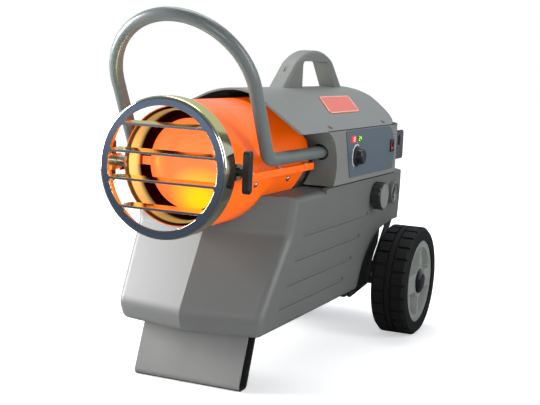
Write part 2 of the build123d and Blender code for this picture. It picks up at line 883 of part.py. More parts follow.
# ---------------------------------------------------------------- fan, motor and pump
def make_fan():
    front = fan_y - fan_width / 2
    rear = fan_y + fan_width / 2
    hub = rod_y(fan_hub_r, front, rear, 0, axis_z)
    hub = chamfer(hub.edges().group_by(Axis.Y)[0], fan_hub_r / 5)
    chord = fan_width / sin(radians(fan_pitch)) * 0.92
    root = fan_hub_r * 0.8
    tip = fan_r * 1.1
    wing = plate((root, -chord * 0.32), (tip, -chord * 0.5), (tip, chord * 0.5), (root, chord * 0.32))
    blade = Rot(fan_pitch, 0, 0) * extrude(wing, blade_sheet / 2, both=True)
    swept = rod_y(fan_r, front, rear, 0, axis_z)
    fan = hub
    for i in range(fan_blades):
        turned = Pos(0, fan_y, axis_z) * Rot(0, i * 360 / fan_blades, 0) * blade
        fan += turned & swept
    fan -= rod_y(shaft_r, fan_y - fan_width, fan_y + fan_width, 0, axis_z)
    save(fan, "fan")
    shaft_end = motor_front_y + motor_length + pump_length - pump_cover - shaft_end_gap
    save(rod_y(shaft_r, front - shaft_r, shaft_end, 0, axis_z), "motor_shaft")


def make_motor():
    rear = motor_front_y + motor_length
    bell = motor_r * 0.2
    outline = plate(
        (shaft_r + running, motor_front_y),
        (motor_r - bell, motor_front_y),
        (motor_r, motor_front_y + bell),
        (motor_r, rear - bell),
        (motor_r - bell, rear),
        (shaft_r + running, rear),
    )
    motor = revolve(Pos(0, 0, axis_z) * outline, axis=drum_axis)
    for i in range(motor_slots):
        turn = Rot(0, i * 360 / motor_slots, 0)
        slot = Pos(0, motor_front_y + motor_length / 2, axis_z) * turn * Pos(0, 0, motor_r)
        motor -= slot * Box(motor_slot, motor_length * 0.5, motor_slot)
    save(motor, "motor")

    pump = turned_on_drum_axis(
        (shaft_r + running, rear),
        (pump_r, rear),
        (pump_r, rear + pump_length - pump_cover),
        (pump_r - pump_cover, rear + pump_length),
        (0, rear + pump_length),
        (0, rear + pump_length - pump_cover),
        (shaft_r + running, rear + pump_length - pump_cover),
    )
    outlet = Pos(0, rear + pump_length / 2, axis_z + pump_r) * Cylinder(pump_port_r, pump_port_r * 2.4)
    save(pump + outlet, "air_pump")

    foot = plate(
        (-trough_r * 0.62, axis_z - trough_r * 1.05),
        (trough_r * 0.62, axis_z - trough_r * 1.05),
        (motor_r * 0.86, axis_z - motor_r * 0.25),
        (-motor_r * 0.86, axis_z - motor_r * 0.25),
    )
    foot &= Pos(0, axis_z) * Circle(trough_r)
    foot -= Pos(0, axis_z) * Circle(motor_r)
    foot -= Pos(0, axis_z - motor_r * 1.55) * SlotOverall(motor_r * 1.1, motor_r * 0.5)
    middle = motor_front_y + motor_length / 2
    save(along_y(foot, middle - bracket_width / 2, middle + bracket_width / 2), "motor_bracket")


def make_fuel_line():
    nozzle_end = burner_y + burner_cup_length + nut_length
    route = FilletPolyline(
        (0, nozzle_end, axis_z),
        (0, line_y, axis_z),
        (-line_x, line_y, axis_z - line_x * line_fall),
        (-line_x, line_y, tank_top_z),
        radius=line_bend_r,
    )
    start = Plane(origin=route @ 0, z_dir=route % 0)
    save(sweep(start * Circle(line_r), path=route), "fuel_line")


# ---------------------------------------------------------------- fuel tank
def prow_profile(inset):
    """The tank's side view at the middle plane, from the prow to past the rear."""
    rear = body_rear_y + half_width
    face = plate(
        (prow_toe_y, tank_bottom_z),
        (prow_tip_y, prow_tip_z),
        (prow_brow_y, prow_brow_z),
        (prow_top_y, tank_top_z),
        (rear, tank_top_z),
        (rear, tank_bottom_z),
    )
    face = softened(face, ((prow_tip_y, prow_tip_z), prow_round), ((prow_brow_y, prow_brow_z), prow_round))
    return offset(face, -inset) if inset else face


def tank_section(inset):
    """The tank's front view: sides leaning outwards, rounded bottom edges."""
    face = plate(
        (-tank_half_bottom, tank_bottom_z),
        (tank_half_bottom, tank_bottom_z),
        (half_width, tank_top_z),
        (-half_width, tank_top_z),
    )
    corners = [((side * tank_half_bottom, tank_bottom_z), keel_round) for side in (-1, 1)]
    face = softened(face, *corners)
    return offset(face, -inset) if inset else face


def shoulder_section(inset):
    """Front view of the tank ahead of the rim: a lower deck and rounded shoulders."""
    half = half_width - inset
    low = (arch_rear_z, deck_z - inset)
    face = plate((-half, low[0]), (half, low[0]), (half, low[1]), (-half, low[1]))
    return softened(face, *[((side * half, low[1]), shoulder_round - inset) for side in (-1, 1)])


def above_deck(inset):
    """What is cut off the tank above its deck, inside the rim that carries the housings."""
    reach = half_width * 1.2
    top = tank_top_z * 1.2
    ahead = block(-reach, reach, 0, rim_front_y + inset, arch_rear_z, top)
    ahead -= along_y(shoulder_section(inset), -cut_past, rim_front_y * 2)
    inside = half_width - rim_width + inset
    return ahead + block(-inside, inside, rim_front_y / 2, panel_rear_y + inset, deck_z - inset, top)


def body_plan(corner, inset):
    """The body's outline seen from above, with rounded rear corners."""
    rear = body_rear_y - inset
    side = half_width - inset
    face = plate((-side, 0), (side, 0), (side, rear), (-side, rear))
    return softened(face, ((side, rear), corner - inset), ((-side, rear), corner - inset))


def wheel_arch(inset):
    """The side view of the space cut out of the tank's lower rear."""
    front = arch_front_y - inset
    curve = ThreePointArc(
        (front, tank_bottom_z + arch_foot),
        (arch_mid[0] - inset, arch_mid[1] + inset),
        (arch_crown[0] - inset, arch_crown[1] + inset),
    )
    rear = body_rear_y * 1.2
    rest = Polyline(
        (arch_crown[0] - inset, arch_crown[1] + inset),
        (arch_crown[0] + arch_rear_run, arch_rear_z + inset),
        (rear, arch_rear_z + inset),
        (rear, 0),
        (front, 0),
        (front, tank_bottom_z + arch_foot),
    )
    return make_face(curve + rest)


def tank_form(inset):
    """The tank's outside, or its cavity when inset by the wall."""
    fall = tan(radians(prow_sweep))
    half = extrude(Plane.YZ * prow_profile(inset), amount=half_width * 1.2, dir=(1, fall, 0))
    form = half + other_side(half)
    form &= along_y(tank_section(inset), 0, body_rear_y * 1.5)
    form &= along_z(body_plan(tank_rear_round, inset), 0, tank_top_z * 2)
    form -= along_x(wheel_arch(inset), -half_width * 1.2, half_width * 1.2)
    form -= rod_y(trough_r + inset, -cut_past, body_rear_y * 1.5, 0, axis_z)
    return form


def front_corner_edges(form):
    """The edges where the two front facets meet the sides."""
    return [
        edge
        for edge in form.edges()
        if edge.center().Y < prow_brow_y + half_width * 0.3
        and abs(abs(edge.center().X) - tank_side_x(edge.center().Z)) < 1
        and edge.center().Z > tank_bottom_z + keel_round
        and edge.bounding_box().size.Y < half_width
    ]


def make_tank():
    tank = tank_form(0)
    tank = fillet(front_corner_edges(tank), corner_round)
    tank -= above_deck(0)
    for i, rise in enumerate(groove_rises):
        z = tank_bottom_z + rise
        start = groove_front_y + i * groove_front_step
        end = groove_rear_y + i * groove_rear_step
        slot = Pos((start + end) / 2, z) * SlotOverall(end - start, groove_height)
        floor_x = tank_side_x(z) - groove_depth
        groove = along_x(slot, floor_x, floor_x + half_width)
        tank -= groove
        tank -= other_side(groove)
    tank -= tank_form(tank_wall) - above_deck(tank_wall)
    reach = half_width * 1.2
    tank -= rod_x(neck_r + running, half_width / 2, reach, filler_y, filler_z)
    tank -= rod_x(pivot_r + running, half_width / 2, reach, gauge_y, gauge_z)
    drain = Pos(0, arch_front_y - drain_gap, tank_bottom_z)
    save(tank - drain * Cylinder(drain_r + running, tank_wall * 3), "fuel_tank")

    plug = Cylinder(drain_r, tank_wall, align=(Align.CENTER, Align.CENTER, Align.MIN))
    plug += extrude(RegularPolygon(drain_r * 1.6, 6), amount=-drain_r)
    save(drain * plug, "drain_plug")


def make_filler():
    face_x = tank_side_x(filler_z + cap_r) + seat
    wall_in = tank_side_x(filler_z - neck_r) - tank_wall - neck_seat
    cap_in = face_x + cap_depth - cap_wall
    neck = turned_on_x(
        filler_y,
        filler_z,
        (wall_in, neck_bore_r),
        (wall_in, neck_r),
        (cap_in - seat, neck_r),
        (cap_in - seat, neck_bore_r),
    )
    save(neck, "filler_neck")

    skirt_in = neck_r + cap_gap
    cap = turned_on_x(
        filler_y,
        filler_z,
        (face_x, skirt_in),
        (face_x, cap_r),
        (face_x + cap_depth - cap_edge, cap_r),
        (face_x + cap_depth, cap_r - cap_edge),
        (face_x + cap_depth, 0),
        (cap_in, 0),
        (cap_in, skirt_in),
    )
    for i in range(cap_flutes):
        flute = Pos(0, filler_y, filler_z) * Rot(i * 360 / cap_flutes, 0, 0)
        cap -= flute * rod_x(cap_flute_r, face_x, face_x + cap_depth * 2, cap_r + cap_flute_r / 2, 0)
    save(cap, "fuel_cap")


def make_gauge():
    seat_x = tank_side_x(gauge_z + gauge_r) + running
    glass_x = seat_x + gauge_depth - gauge_rim
    housing = turned_on_x(
        gauge_y,
        gauge_z,
        (seat_x, pivot_r + running),
        (seat_x, gauge_r),
        (glass_x + gauge_rim / 2, gauge_r),
        (seat_x + gauge_depth, gauge_r - gauge_rim / 2),
        (seat_x + gauge_depth, gauge_r - gauge_rim),
        (seat_x + gauge_rim, gauge_r - gauge_rim),
        (seat_x + gauge_rim, pivot_r + running),
    )
    lens = turned_on_x(
        gauge_y,
        gauge_z,
        (glass_x, 0),
        (glass_x, gauge_r - gauge_rim),
        (glass_x + gauge_rim * 0.7, gauge_r - gauge_rim),
        (seat_x + gauge_depth, gauge_r * 0.4),
        (seat_x + gauge_depth, 0),
    )
    save(housing, "gauge_housing")
    save(lens, "gauge_lens")

    pointer = Pos(0, gauge_r * 0.3) * Rectangle(needle_width, gauge_r * 1.05) + Circle(pivot_r)
    needle_x = seat_x + gauge_rim + seat
    needle_place = Pos(gauge_y, gauge_z) * Rot(0, 0, 90)
    needle = along_x(needle_place * pointer, needle_x, needle_x + needle_sheet)
    float_x = tank_side_x(gauge_z) - tank_wall - float_gap - float_length / 2
    float_y = gauge_y - float_arm_length
    half = pivot_r / 2
    shaft = rod_x(pivot_r, float_x, needle_x, gauge_y, gauge_z)
    arm = block(float_x - half, float_x + half, float_y, gauge_y, gauge_z - half, gauge_z + half)
    ball = rod_x(float_r, float_x - float_length / 2, float_x + float_length / 2, float_y, gauge_z)
    ball = chamfer(ball.edges(), float_r / 4)
    save(needle, "gauge_needle")
    save(shaft + arm + ball, "gauge_float")


# ---------------------------------------------------------------- hood
def hood_section(inset):
    """Front view: a round crown that runs into two flat flanks, and past the seam."""
    radius = crown_r - inset
    touch_x = radius * sin(flank_tilt)
    touch_z = crown_z + radius * cos(flank_tilt)
    edge_x = touch_x + (touch_z - seam_z) / tan(flank_tilt)
    low_z = seam_z - inset - cut_past
    crown = ThreePointArc((-touch_x, touch_z), (0, crown_z + radius), (touch_x, touch_z))
    flanks = Polyline(
        (touch_x, touch_z),
        (edge_x, seam_z),
        (edge_x, low_z),
        (-edge_x, low_z),
        (-edge_x, seam_z),
        (-touch_x, touch_z),
    )
    return make_face(crown + flanks)


def hood_side(inset):
    """Side view: a slanted front lip and a rounded rear; the inside runs out past the lip."""
    rear = body_rear_y - inset
    top = crown_top_z + hood_round_rise
    slant = hood_lip_lean / (crown_top_z - seam_z)
    ahead = inset * 3
    face = plate(
        (hood_lip_low_y - ahead - slant * (inset + cut_past), seam_z - inset - cut_past),
        (hood_lip_high_y - ahead, crown_top_z),
        (hood_lip_high_y - ahead, top),
        (rear, top),
        (rear, seam_z - inset - cut_past),
    )
    return softened(face, ((rear, top), hood_rear_round - inset))


def hood_form(inset):
    form = along_y(hood_section(inset), 0, body_rear_y * 1.2)
    form &= along_x(hood_side(inset), -half_width * 1.2, half_width * 1.2)
    return form & along_z(body_plan(hood_corner_r, inset), 0, crown_top_z * 2)


def cover_screw_places():
    """Where screws pass square through the hood's +X flank."""
    down = half_width - lug_x
    z = seam_z + down * tan(flank_tilt)
    return [Pos(lug_x, y, z) * Rot(0, degrees(flank_tilt), 0) for y in lug_ys]


def make_hood():
    outside = hood_form(0)
    hood = outside - hood_form(cover_wall)
    hood -= rod_y(trough_r, body_rear_y - half_width, body_rear_y * 1.2, 0, axis_z)
    hood &= block(-half_width, half_width, 0, body_rear_y, seam_z, crown_top_z * 2)
    for place in cover_screw_places():
        hole = place * Cylinder(screw_r + running, cover_wall * 4)
        hood -= hole
        hood -= other_side(hole)
    save(hood, "hood")


def carry_outline():
    """Side view: two slopes and an arched top."""
    foot_z = crown_top_z - carry_foot_drop
    front = (carry_top_front_y, crown_top_z + carry_front_rise)
    rear = (carry_top_rear_y, crown_top_z + carry_rear_rise)
    apex = (carry_foot_front_y + carry_apex_run, carry_top_z)
    below = Polyline(
        rear,
        (carry_foot_rear_y, foot_z),
        (carry_foot_rear_y, seam_z),
        (carry_foot_front_y, seam_z),
        (carry_foot_front_y, foot_z),
        front,
    )
    face = make_face(ThreePointArc(front, apex, rear) + below)
    return softened(face, (front, carry_round), (rear, carry_round))


def grip_outline():
    """The hand window: its rear edge follows the handle's rear slope."""
    face = plate(
        (grip_front_y, grip_low_z),
        (grip_front_y, grip_high_z),
        (grip_rear_y, grip_high_z),
        (grip_rear_y + grip_rear_lean, grip_low_z),
    )
    return softened(face, ((grip_front_y, grip_high_z), grip_round), ((grip_rear_y, grip_high_z), grip_round))


def make_carry_handle():
    body = along_x(carry_outline(), -carry_half, carry_half)
    sides = [edge for edge in body.edges() if abs(abs(edge.center().X) - carry_half) < seat]
    body = fillet([edge for edge in sides if edge.center().Z > crown_top_z], carry_edge_r)
    body -= along_x(grip_outline(), -carry_half * 2, carry_half * 2)
    shoulder_z = crown_top_z + carry_front_rise
    notch = Pos(0, carry_top_front_y - notch_gap[0], shoulder_z - notch_gap[1]) * Rot(45, 0, 0)
    body -= notch * Box(*notch_size)
    save(body - hood_form(0), "carry_handle")


def make_badge():
    flat = plate(
        (-badge_length / 2 - badge_shear / 2, -badge_height / 2),
        (badge_length / 2 - badge_shear / 2, -badge_height / 2),
        (badge_length / 2 + badge_shear / 2, badge_height / 2),
        (-badge_length / 2 + badge_shear / 2, badge_height / 2),
    )
    flat = fillet(flat.vertices(), badge_round)
    normal = (sin(flank_tilt), 0, cos(flank_tilt))
    x_touch = crown_r * sin(flank_tilt)
    z_touch = crown_z + crown_r * cos(flank_tilt)
    spot = (badge_x, badge_y, z_touch - (badge_x - x_touch) * tan(flank_tilt))
    save(extrude(Plane(origin=spot, x_dir=(0, 1, 0), z_dir=normal) * flat, amount=badge_sheet), "badge_plate")


# ---------------------------------------------------------------- side housings
def housing_side(inset):
    """Side view: a concave scoop at the front, straight top and bottom."""
    over = half_width if inset else 0
    low = (scoop_foot_y + inset, tank_top_z)
    high = (scoop_top_y + inset, seam_z)
    curve = ThreePointArc(low, (scoop_mid[0] + inset, scoop_mid[1]), high)
    rear = body_rear_y * 1.2
    rest = [(rear, seam_z + over), (rear, tank_top_z - over)]
    if inset:
        rest = [(high[0], seam_z + over), *rest, (low[0], tank_top_z - over)]
    return make_face(curve + Polyline(high, *rest, low))


def housing_form(inset):
    form = along_x(housing_side(inset), -half_width * 1.2, half_width * 1.2)
    return form & along_z(body_plan(housing_corner_r, inset), 0, crown_top_z * 2)


def cover_lugs():
    """Blocks inside the +X wall that take the hood's screws."""
    inner_x = half_width - cover_wall
    lugs = []
    for y, place in zip(lug_ys, cover_screw_places()):
        ends = (lug_x - lug_half, inner_x, y - lug_half, y + lug_half)
        low = block(*ends, seam_z - lug_depth, seam_z)
        high = block(*ends, seam_z, crown_top_z) & hood_form(cover_wall)
        lugs.append(low + high - place * Cylinder(screw_r + running, lug_depth * 3))
    return lugs


def make_housings():
    outside = housing_form(0)
    shell = outside - housing_form(cover_wall)
    for lug in cover_lugs():
        shell += lug + other_side(lug)
    for side in (-1, 1):
        shell += rod_y(sleeve_r, scoop_top_y, bush_y + bush_length, side * tow_half, tow_z) & outside
        shell -= rod_y(bush_r + running, 0, bush_y + bush_length * 2, side * tow_half, tow_z)
    front_end = (scoop_foot_y + body_rear_y) / 2
    shell -= rod_y(drum_r + drum_clear, 0, front_end, 0, axis_z)
    shell -= rod_y(trough_r, front_end, body_rear_y * 1.2, 0, axis_z)
    right = shell & block(0, half_width * 2, 0, body_rear_y * 1.2, 0, seam_z * 2)
    left = shell & block(-half_width * 2, 0, 0, body_rear_y * 1.2, 0, seam_z * 2)
    deep = half_width * 2
    right -= rod_x(dial_shaft_r + dial_room, half_width / 2, deep, dial_y, dial_z)
    right -= along_x(Pos(switch_y, switch_z) * Rectangle(switch_width, switch_height), half_width / 2, deep)
    save(right, "right_housing")
    save(left, "left_housing")


def make_panel():
    rear_mid = (panel_rear_y, axis_z + panel_rear_rise)
    arc = ThreePointArc((panel_rear_top_y, panel_top_z), rear_mid, (panel_rear_bottom_y, panel_bottom_z))
    rest = Polyline(
        (panel_rear_bottom_y, panel_bottom_z),
        (panel_front_bottom_y, panel_bottom_z),
        (panel_front_top_y, panel_top_z),
        (panel_rear_top_y, panel_top_z),
    )
    face = make_face(arc + rest)
    front_corners = ((panel_front_bottom_y, panel_bottom_z), (panel_front_top_y, panel_top_z))
    face = softened(face, *[(corner, panel_round) for corner in front_corners])
    for y in window_ys:
        face -= Pos(y, window_z) * Rectangle(window_length, window_height)
    face -= Pos(dial_y, dial_z) * Circle(dial_shaft_r + dial_room)
    face -= Pos(switch_y, switch_z) * Rectangle(switch_width, switch_height)
    save(along_x(face, half_width, half_width + panel_sheet), "control_panel")

    windows = []
    for y in window_ys:
        outline = Pos(y, window_z) * Rectangle(window_length, window_height)
        outline = fillet(outline.vertices(), window_round)
        windows.append(along_x(outline, half_width, half_width + panel_sheet + window_proud))
    save(windows[0], "temperature_window")
    save(windows[1], "setpoint_window")


def make_dial():
    face_x = half_width + panel_sheet + seat
    inner_x = half_width - cover_wall
    grip_x = face_x + dial_skirt * 1.6
    end_x = face_x + dial_depth
    knob = turned_on_x(
        dial_y,
        dial_z,
        (face_x, 0),
        (face_x, dial_r),
        (face_x + dial_skirt, dial_r),
        (grip_x, dial_grip_r),
        (end_x - dial_edge, dial_grip_r - dial_edge / 2),
        (end_x, dial_grip_r - dial_edge * 1.5),
        (end_x, 0),
    )
    for i in range(dial_flutes):
        turn = Pos(0, dial_y, dial_z) * Rot((i + 0.5) * 360 / dial_flutes, 0, 0)
        knob -= turn * rod_x(dial_flute_r, grip_x, end_x * 1.1, dial_grip_r, 0)
    stem_x = inner_x - dial_body_depth * 0.75
    knob += rod_x(dial_shaft_r, stem_x, face_x, dial_y, dial_z)
    save(knob, "thermostat_knob")

    outline = Pos(dial_y, dial_z) * Rectangle(dial_body, dial_body)
    body = along_x(outline, inner_x - dial_body_depth, inner_x)
    body -= rod_x(dial_shaft_r + running, stem_x - seat, half_width, dial_y, dial_z)
    save(body, "thermostat")


def make_switch():
    face_x = half_width + panel_sheet
    place = Pos(switch_y, switch_z)
    outer = Rectangle(switch_width + switch_rim * 2, switch_height + switch_rim * 2)
    outer = fillet(outer.vertices(), switch_rim)
    body = Rectangle(switch_width - running * 2, switch_height - running * 2)
    inner_width = switch_width - switch_wall * 2
    inner_height = switch_height - switch_wall * 2
    hole = Rectangle(inner_width, inner_height)
    bezel = along_x(place * (outer - hole), face_x, face_x + switch_rim)
    bezel += along_x(place * (body - hole), half_width - switch_depth, face_x)
    save(bezel, "switch_bezel")

    half_high = inner_height / 2 - rocker_end_gap
    half_wide = inner_width / 2 - rocker_gap
    root, lip, crest, valley = rocker_xs
    profile = plate(
        (root, -half_high * 0.7),
        (lip, -half_high),
        (crest, -half_high),
        (valley, 0),
        (crest, half_high),
        (lip, half_high),
        (root, half_high * 0.7),
    )
    rocker = along_y(profile, switch_y - half_wide, switch_y + half_wide)
    save(Pos(face_x - rocker_pivot, 0, switch_z) * Rot(0, -switch_tilt, 0) * rocker, "power_rocker")


def make_inner_boxes():
    inner_x = half_width - cover_wall
    board_x = inner_x - board_gap
    board_y = switch_y - board_front_gap
    low = tank_top_z + seat
    board = block(board_x, board_x + board_sheet, board_y, board_y + board_length, low, low + board_height)
    for start, width, height in relays:
        y = board_y + start
        z = low + relay_rise
        board += block(board_x - relay_depth, board_x, y, y + width, z, z + height)
    save(board, "control_board")

    width, length, height = transformer_size
    outer_x = -inner_x + transformer_gap
    front = motor_front_y - transformer_lap
    low = deck_z + seat
    box = block(outer_x, outer_x + width, front, front + length, low, low + height)
    save(chamfer(box.edges().filter_by(Axis.X), transformer_edge), "ignition_transformer")


# ---------------------------------------------------------------- rear guard and hooks
def make_guard():
    rim_r = trough_r - seat
    rim_in = rim_r - guard_rim
    front = guard_y - guard_band[0]
    rear = guard_y + guard_band[1]
    guard = turned_on_drum_axis((rim_in, front), (rim_r, front), (rim_r, rear), (rim_in, rear))
    wire = guard_wire_r
    for i in range(guard_rings):
        radius = guard_eye + i * (rim_r - guard_eye) / guard_rings
        guard += turned_on_drum_axis(
            (radius - wire, guard_y - wire),
            (radius + wire, guard_y - wire),
            (radius + wire, guard_y + wire),
            (radius - wire, guard_y + wire),
        )
    length = rim_in + guard_rim / 2 - guard_eye
    spoke = Pos(0, 0, guard_eye + length / 2) * Box(wire * 2, wire * 2, length)
    for i in range(guard_spokes):
        guard += Pos(0, guard_y - wire, axis_z) * Rot(0, i * 360 / guard_spokes, 0) * spoke
    save(guard, "intake_guard")


def make_hooks():
    root_y = body_rear_y - half_width / 2
    low_end = (overall_length, hook_bottom_z)
    high_end = (overall_length, hook_top_z)
    face = plate((root_y, hook_bottom_z), low_end, high_end, (root_y, hook_top_z))
    face = softened(face, (low_end, hook_round[0]), (high_end, hook_round[1]))
    slot_z = (hook_bottom_z + hook_top_z) / 2 + hook_slot_rise
    face -= Pos(overall_length - hook_slot_back, slot_z) * SlotOverall(*hook_slot, rotation=90)
    hook = along_x(face, hook_x, hook_x + hook_sheet)
    low = hook_bottom_z + hook_turn_trim[0]
    high = hook_top_z - hook_turn_trim[1]
    hook += block(hook_x - hook_turn, hook_x, overall_length - hook_sheet, overall_length, low, high)
    save(both_sides(hook - housing_form(0)), "cord_hooks")

    inside = gland_x - half_width + housing_corner_r
    wall_y = body_rear_y - housing_corner_r + sqrt(housing_corner_r**2 - inside**2)
    gland = rod_y(gland_r, wall_y - gland_root, wall_y + gland_reach, gland_x, gland_z)
    gland = chamfer(gland.edges().group_by(Axis.Y)[-1], gland_r / 3)
    gland -= rod_y(gland_bore_r, wall_y - gland_root * 2, wall_y + gland_reach * 2, gland_x, gland_z)
    save(gland - housing_form(0), "cord_gland")


# ---------------------------------------------------------------- telescopic tow handle
def tow_route():
    """Half of the handle's centre line, from a leg's inner end to the top of its arch."""
    lean = radians(tow_lean)
    shoulder = (tow_half, tow_bend_y - tow_leg * sin(lean), tow_z + tow_leg * cos(lean))
    top = (0, tow_bend_y - tow_rise * sin(lean), tow_z + tow_rise * cos(lean))
    quarter = tow_leg + tow_half * sin(pi / 4)
    middle = (tow_half * cos(pi / 4), tow_bend_y - quarter * sin(lean), tow_z + quarter * cos(lean))
    foot = FilletPolyline(
        (tow_half, tow_inner_y, tow_z), (tow_half, tow_bend_y, tow_z), shoulder, radius=tow_bend_r
    )
    return foot + ThreePointArc(shoulder, middle, top)


def make_tow_handle():
    route = tow_route()
    start = Plane(origin=(tow_half, tow_inner_y, tow_z), z_dir=(0, -1, 0))
    tube = sweep(start * (Circle(tow_r) - Circle(tow_r - tow_wall)), path=route)
    for y in (tow_dimple_y, tow_dimple_y + tow_travel):
        tube -= Pos(tow_half, y, tow_z + tow_r + tow_dimple_r / 3) * Sphere(tow_dimple_r)
    save(tube + other_side(tube), "tow_handle")

    bush = Pos(tow_half, tow_z) * (Circle(bush_r) - Circle(tow_r + running * 2))
    save(both_sides(along_y(bush, bush_y, bush_y + bush_length)), "handle_bushes")

    side = tow_r + guide_wall
    guide_rear = tow_inner_y - guide_inset
    guide = plate(
        (tow_half - side, deck_z),
        (tow_half + side, deck_z),
        (tow_half + side, tow_z + guide_cap),
        (tow_half + guide_top, tow_z + tow_r + guide_cap),
        (tow_half - guide_top, tow_z + tow_r + guide_cap),
        (tow_half - side, tow_z + guide_cap),
    )
    guide -= Pos(tow_half, tow_z) * Circle(tow_r + running * 2)
    save(both_sides(along_y(guide, guide_rear - guide_length, guide_rear)), "handle_guides")


# ---------------------------------------------------------------- wheels, axle and bracket
def make_tyre():
    """The +X tyre: two rows of slots on both sides of a plain rib."""
    inner_x = wheel_face_x - tyre_width
    middle = (inner_x + wheel_face_x) / 2
    shoulder_r = wheel_r - tyre_round
    face = plate(
        (inner_x, rim_r),
        (wheel_face_x, rim_r),
        (wheel_face_x, shoulder_r),
        (wheel_face_x - tyre_round, wheel_r),
        (inner_x + tyre_round, wheel_r),
        (inner_x, shoulder_r),
    )
    row_start = tread_rib / 2 + tread_groove
    slot_length = tyre_width / 2 - row_start + tyre_round
    for side in (-1, 1):
        groove_x = middle + side * (tread_rib + tread_groove) / 2
        face -= Pos(groove_x, wheel_r) * Rectangle(tread_groove, tread_depth * 2)
    tyre = revolve(face, axis=Axis.X)
    for i in range(tread_slots):
        for side in (-1, 1):
            turn = Rot(360 / tread_slots * (i + side / 4), 0, 0)
            reach = middle + side * (row_start + slot_length / 2 - seat)
            tyre -= turn * Pos(reach, 0, wheel_r) * Box(slot_length, tread_slot_width, tread_depth * 2)
    return Pos(0, axle_y, wheel_r) * tyre


def rim_pockets(face_x):
    """The four tapered pockets in the rim's face, between its ribs."""
    level, upright = pocket_ribs
    outer_r = rim_r - pocket_edge
    sector = Circle(outer_r) - Circle(hub_r + pocket_hub)
    sector -= Rectangle(outer_r * 3, level)
    sector -= Rectangle(upright, outer_r * 3)
    sector = fillet(sector.vertices(), pocket_round)
    inwards = Plane(origin=(face_x, axle_y, wheel_r), x_dir=(0, 1, 0), z_dir=(-1, 0, 0))
    return extrude(inwards * sector, amount=pocket_depth, taper=pocket_draft)


def make_rim():
    """The +X rim: a thick web near its outer face, open towards the body."""
    inner_x = wheel_face_x - tyre_width
    face_x = wheel_face_x - rim_face_inset
    web_x = face_x - web_depth
    wall_r = rim_r - rim_wall
    rim = turned_on_x(
        axle_y,
        wheel_r,
        (inner_x + tyre_seat, rim_r),
        (inner_x + tyre_seat, wall_r),
        (web_x, wall_r),
        (web_x, hub_r),
        (inner_x - hub_back, hub_r),
        (inner_x - hub_back, axle_r + running),
        (face_x, axle_r + running),
        (face_x, rim_r),
    )
    return rim - rim_pockets(face_x)


def make_wheels():
    for name, part in (("tyre", make_tyre()), ("rim", make_rim())):
        save(part, f"{name}_right")
        save(other_side(part), f"{name}_left")

    cap_x = wheel_face_x - rim_face_inset + seat
    end_x = cap_x + hub_cap_depth
    inside_x = end_x - hub_cap_depth / 3
    cap = turned_on_x(
        axle_y,
        wheel_r,
        (cap_x, axle_r),
        (cap_x, hub_cap_r),
        (cap_x + hub_cap_depth * 0.45, hub_cap_r * 0.92),
        (cap_x + hub_cap_depth * 0.85, hub_cap_r * 0.6),
        (end_x, 0),
        (inside_x, 0),
        (inside_x, axle_r),
    )
    save(both_sides(cap), "hub_caps")
    save(rod_x(axle_r, -inside_x, inside_x, axle_y, wheel_r), "axle")


def bar_between(start, end, width):
    """A (Y, Z) strip with round ends from one point to another."""
    length = sqrt((end[0] - start[0]) ** 2 + (end[1] - start[1]) ** 2)
    angle = degrees(atan2(end[1] - start[1], end[0] - start[0]))
    middle = ((start[0] + end[0]) / 2, (start[1] + end[1]) / 2)
    return Pos(*middle) * SlotCenterToCenter(length, width, rotation=angle)


def make_axle_bracket():
    hub = (axle_y, wheel_r)
    front = (arch_front_y - bracket_pad, tank_bottom_z + arch_foot)
    rear = (body_rear_y - bracket_pad, arch_rear_z)
    face = bar_between(front, hub, bracket_bar) + bar_between(hub, rear, bracket_bar)
    face += Pos(*hub) * Circle(bracket_bar * 0.75)
    cheek = along_x(face, bracket_x, bracket_x + bracket_sheet)
    half = cheek
    for y, top in ((front[0], tank_bottom_z), (rear[0] - bracket_pad / 2, arch_rear_z)):
        start = y - bracket_pad_length / 2
        end = y + bracket_pad_length / 2
        half += block(bracket_x - bracket_pad, bracket_x, start, end, top - bracket_sheet, top)
    half -= tank_form(0)
    tube = rod_x(axle_tube_r, -bracket_x, bracket_x, axle_y, wheel_r)
    bracket = half + other_side(half) + tube
    save(bracket - rod_x(axle_r + running, -half_width, half_width, axle_y, wheel_r), "axle_bracket")


# ---------------------------------------------------------------- front foot
def foot_line(offset_in):
    """The folded foot's side view as a closed outline, inset from its outer face."""
    lean = tan(radians(foot_lean))
    toe = foot_toe_y + offset_in / cos(radians(foot_lean))
    heel = foot_toe_y + foot_depth - offset_in / cos(radians(foot_lean))
    top = tank_bottom_z
    low = offset_in
    over = half_width if offset_in else 0
    face = plate(
        (toe + lean * low, low),
        (heel + lean * low, low),
        (heel + lean * (top + over), top + over),
        (toe + lean * (top + over), top + over),
    )
    radius = foot_bend_r - offset_in
    return softened(face, ((toe + lean * low, low), radius), ((heel + lean * low, low), radius))


def make_foot():
    strip = foot_line(0) - foot_line(foot_sheet)
    lean = tan(radians(foot_lean))
    heel_top = foot_toe_y + foot_depth + lean * tank_bottom_z
    tab = plate(
        (heel_top - foot_sheet, tank_bottom_z - foot_sheet),
        (heel_top + foot_tab, tank_bottom_z - foot_sheet),
        (heel_top + foot_tab, tank_bottom_z),
        (heel_top - foot_sheet, tank_bottom_z),
    )
    foot = along_x(strip + tab, -foot_half, foot_half)
    screws = []
    for x in (-foot_half * 0.7, 0, foot_half * 0.7):
        spot = Pos(x, heel_top + foot_tab * 0.6, tank_bottom_z)
        foot -= spot * Cylinder(screw_r + running, foot_sheet * 4)
        screws.append(spot * Pos(0, 0, -foot_sheet) * Rot(180, 0, 0) * screw(foot_sheet))
    save(foot, "front_foot")
    save(gathered(screws), "foot_screws")


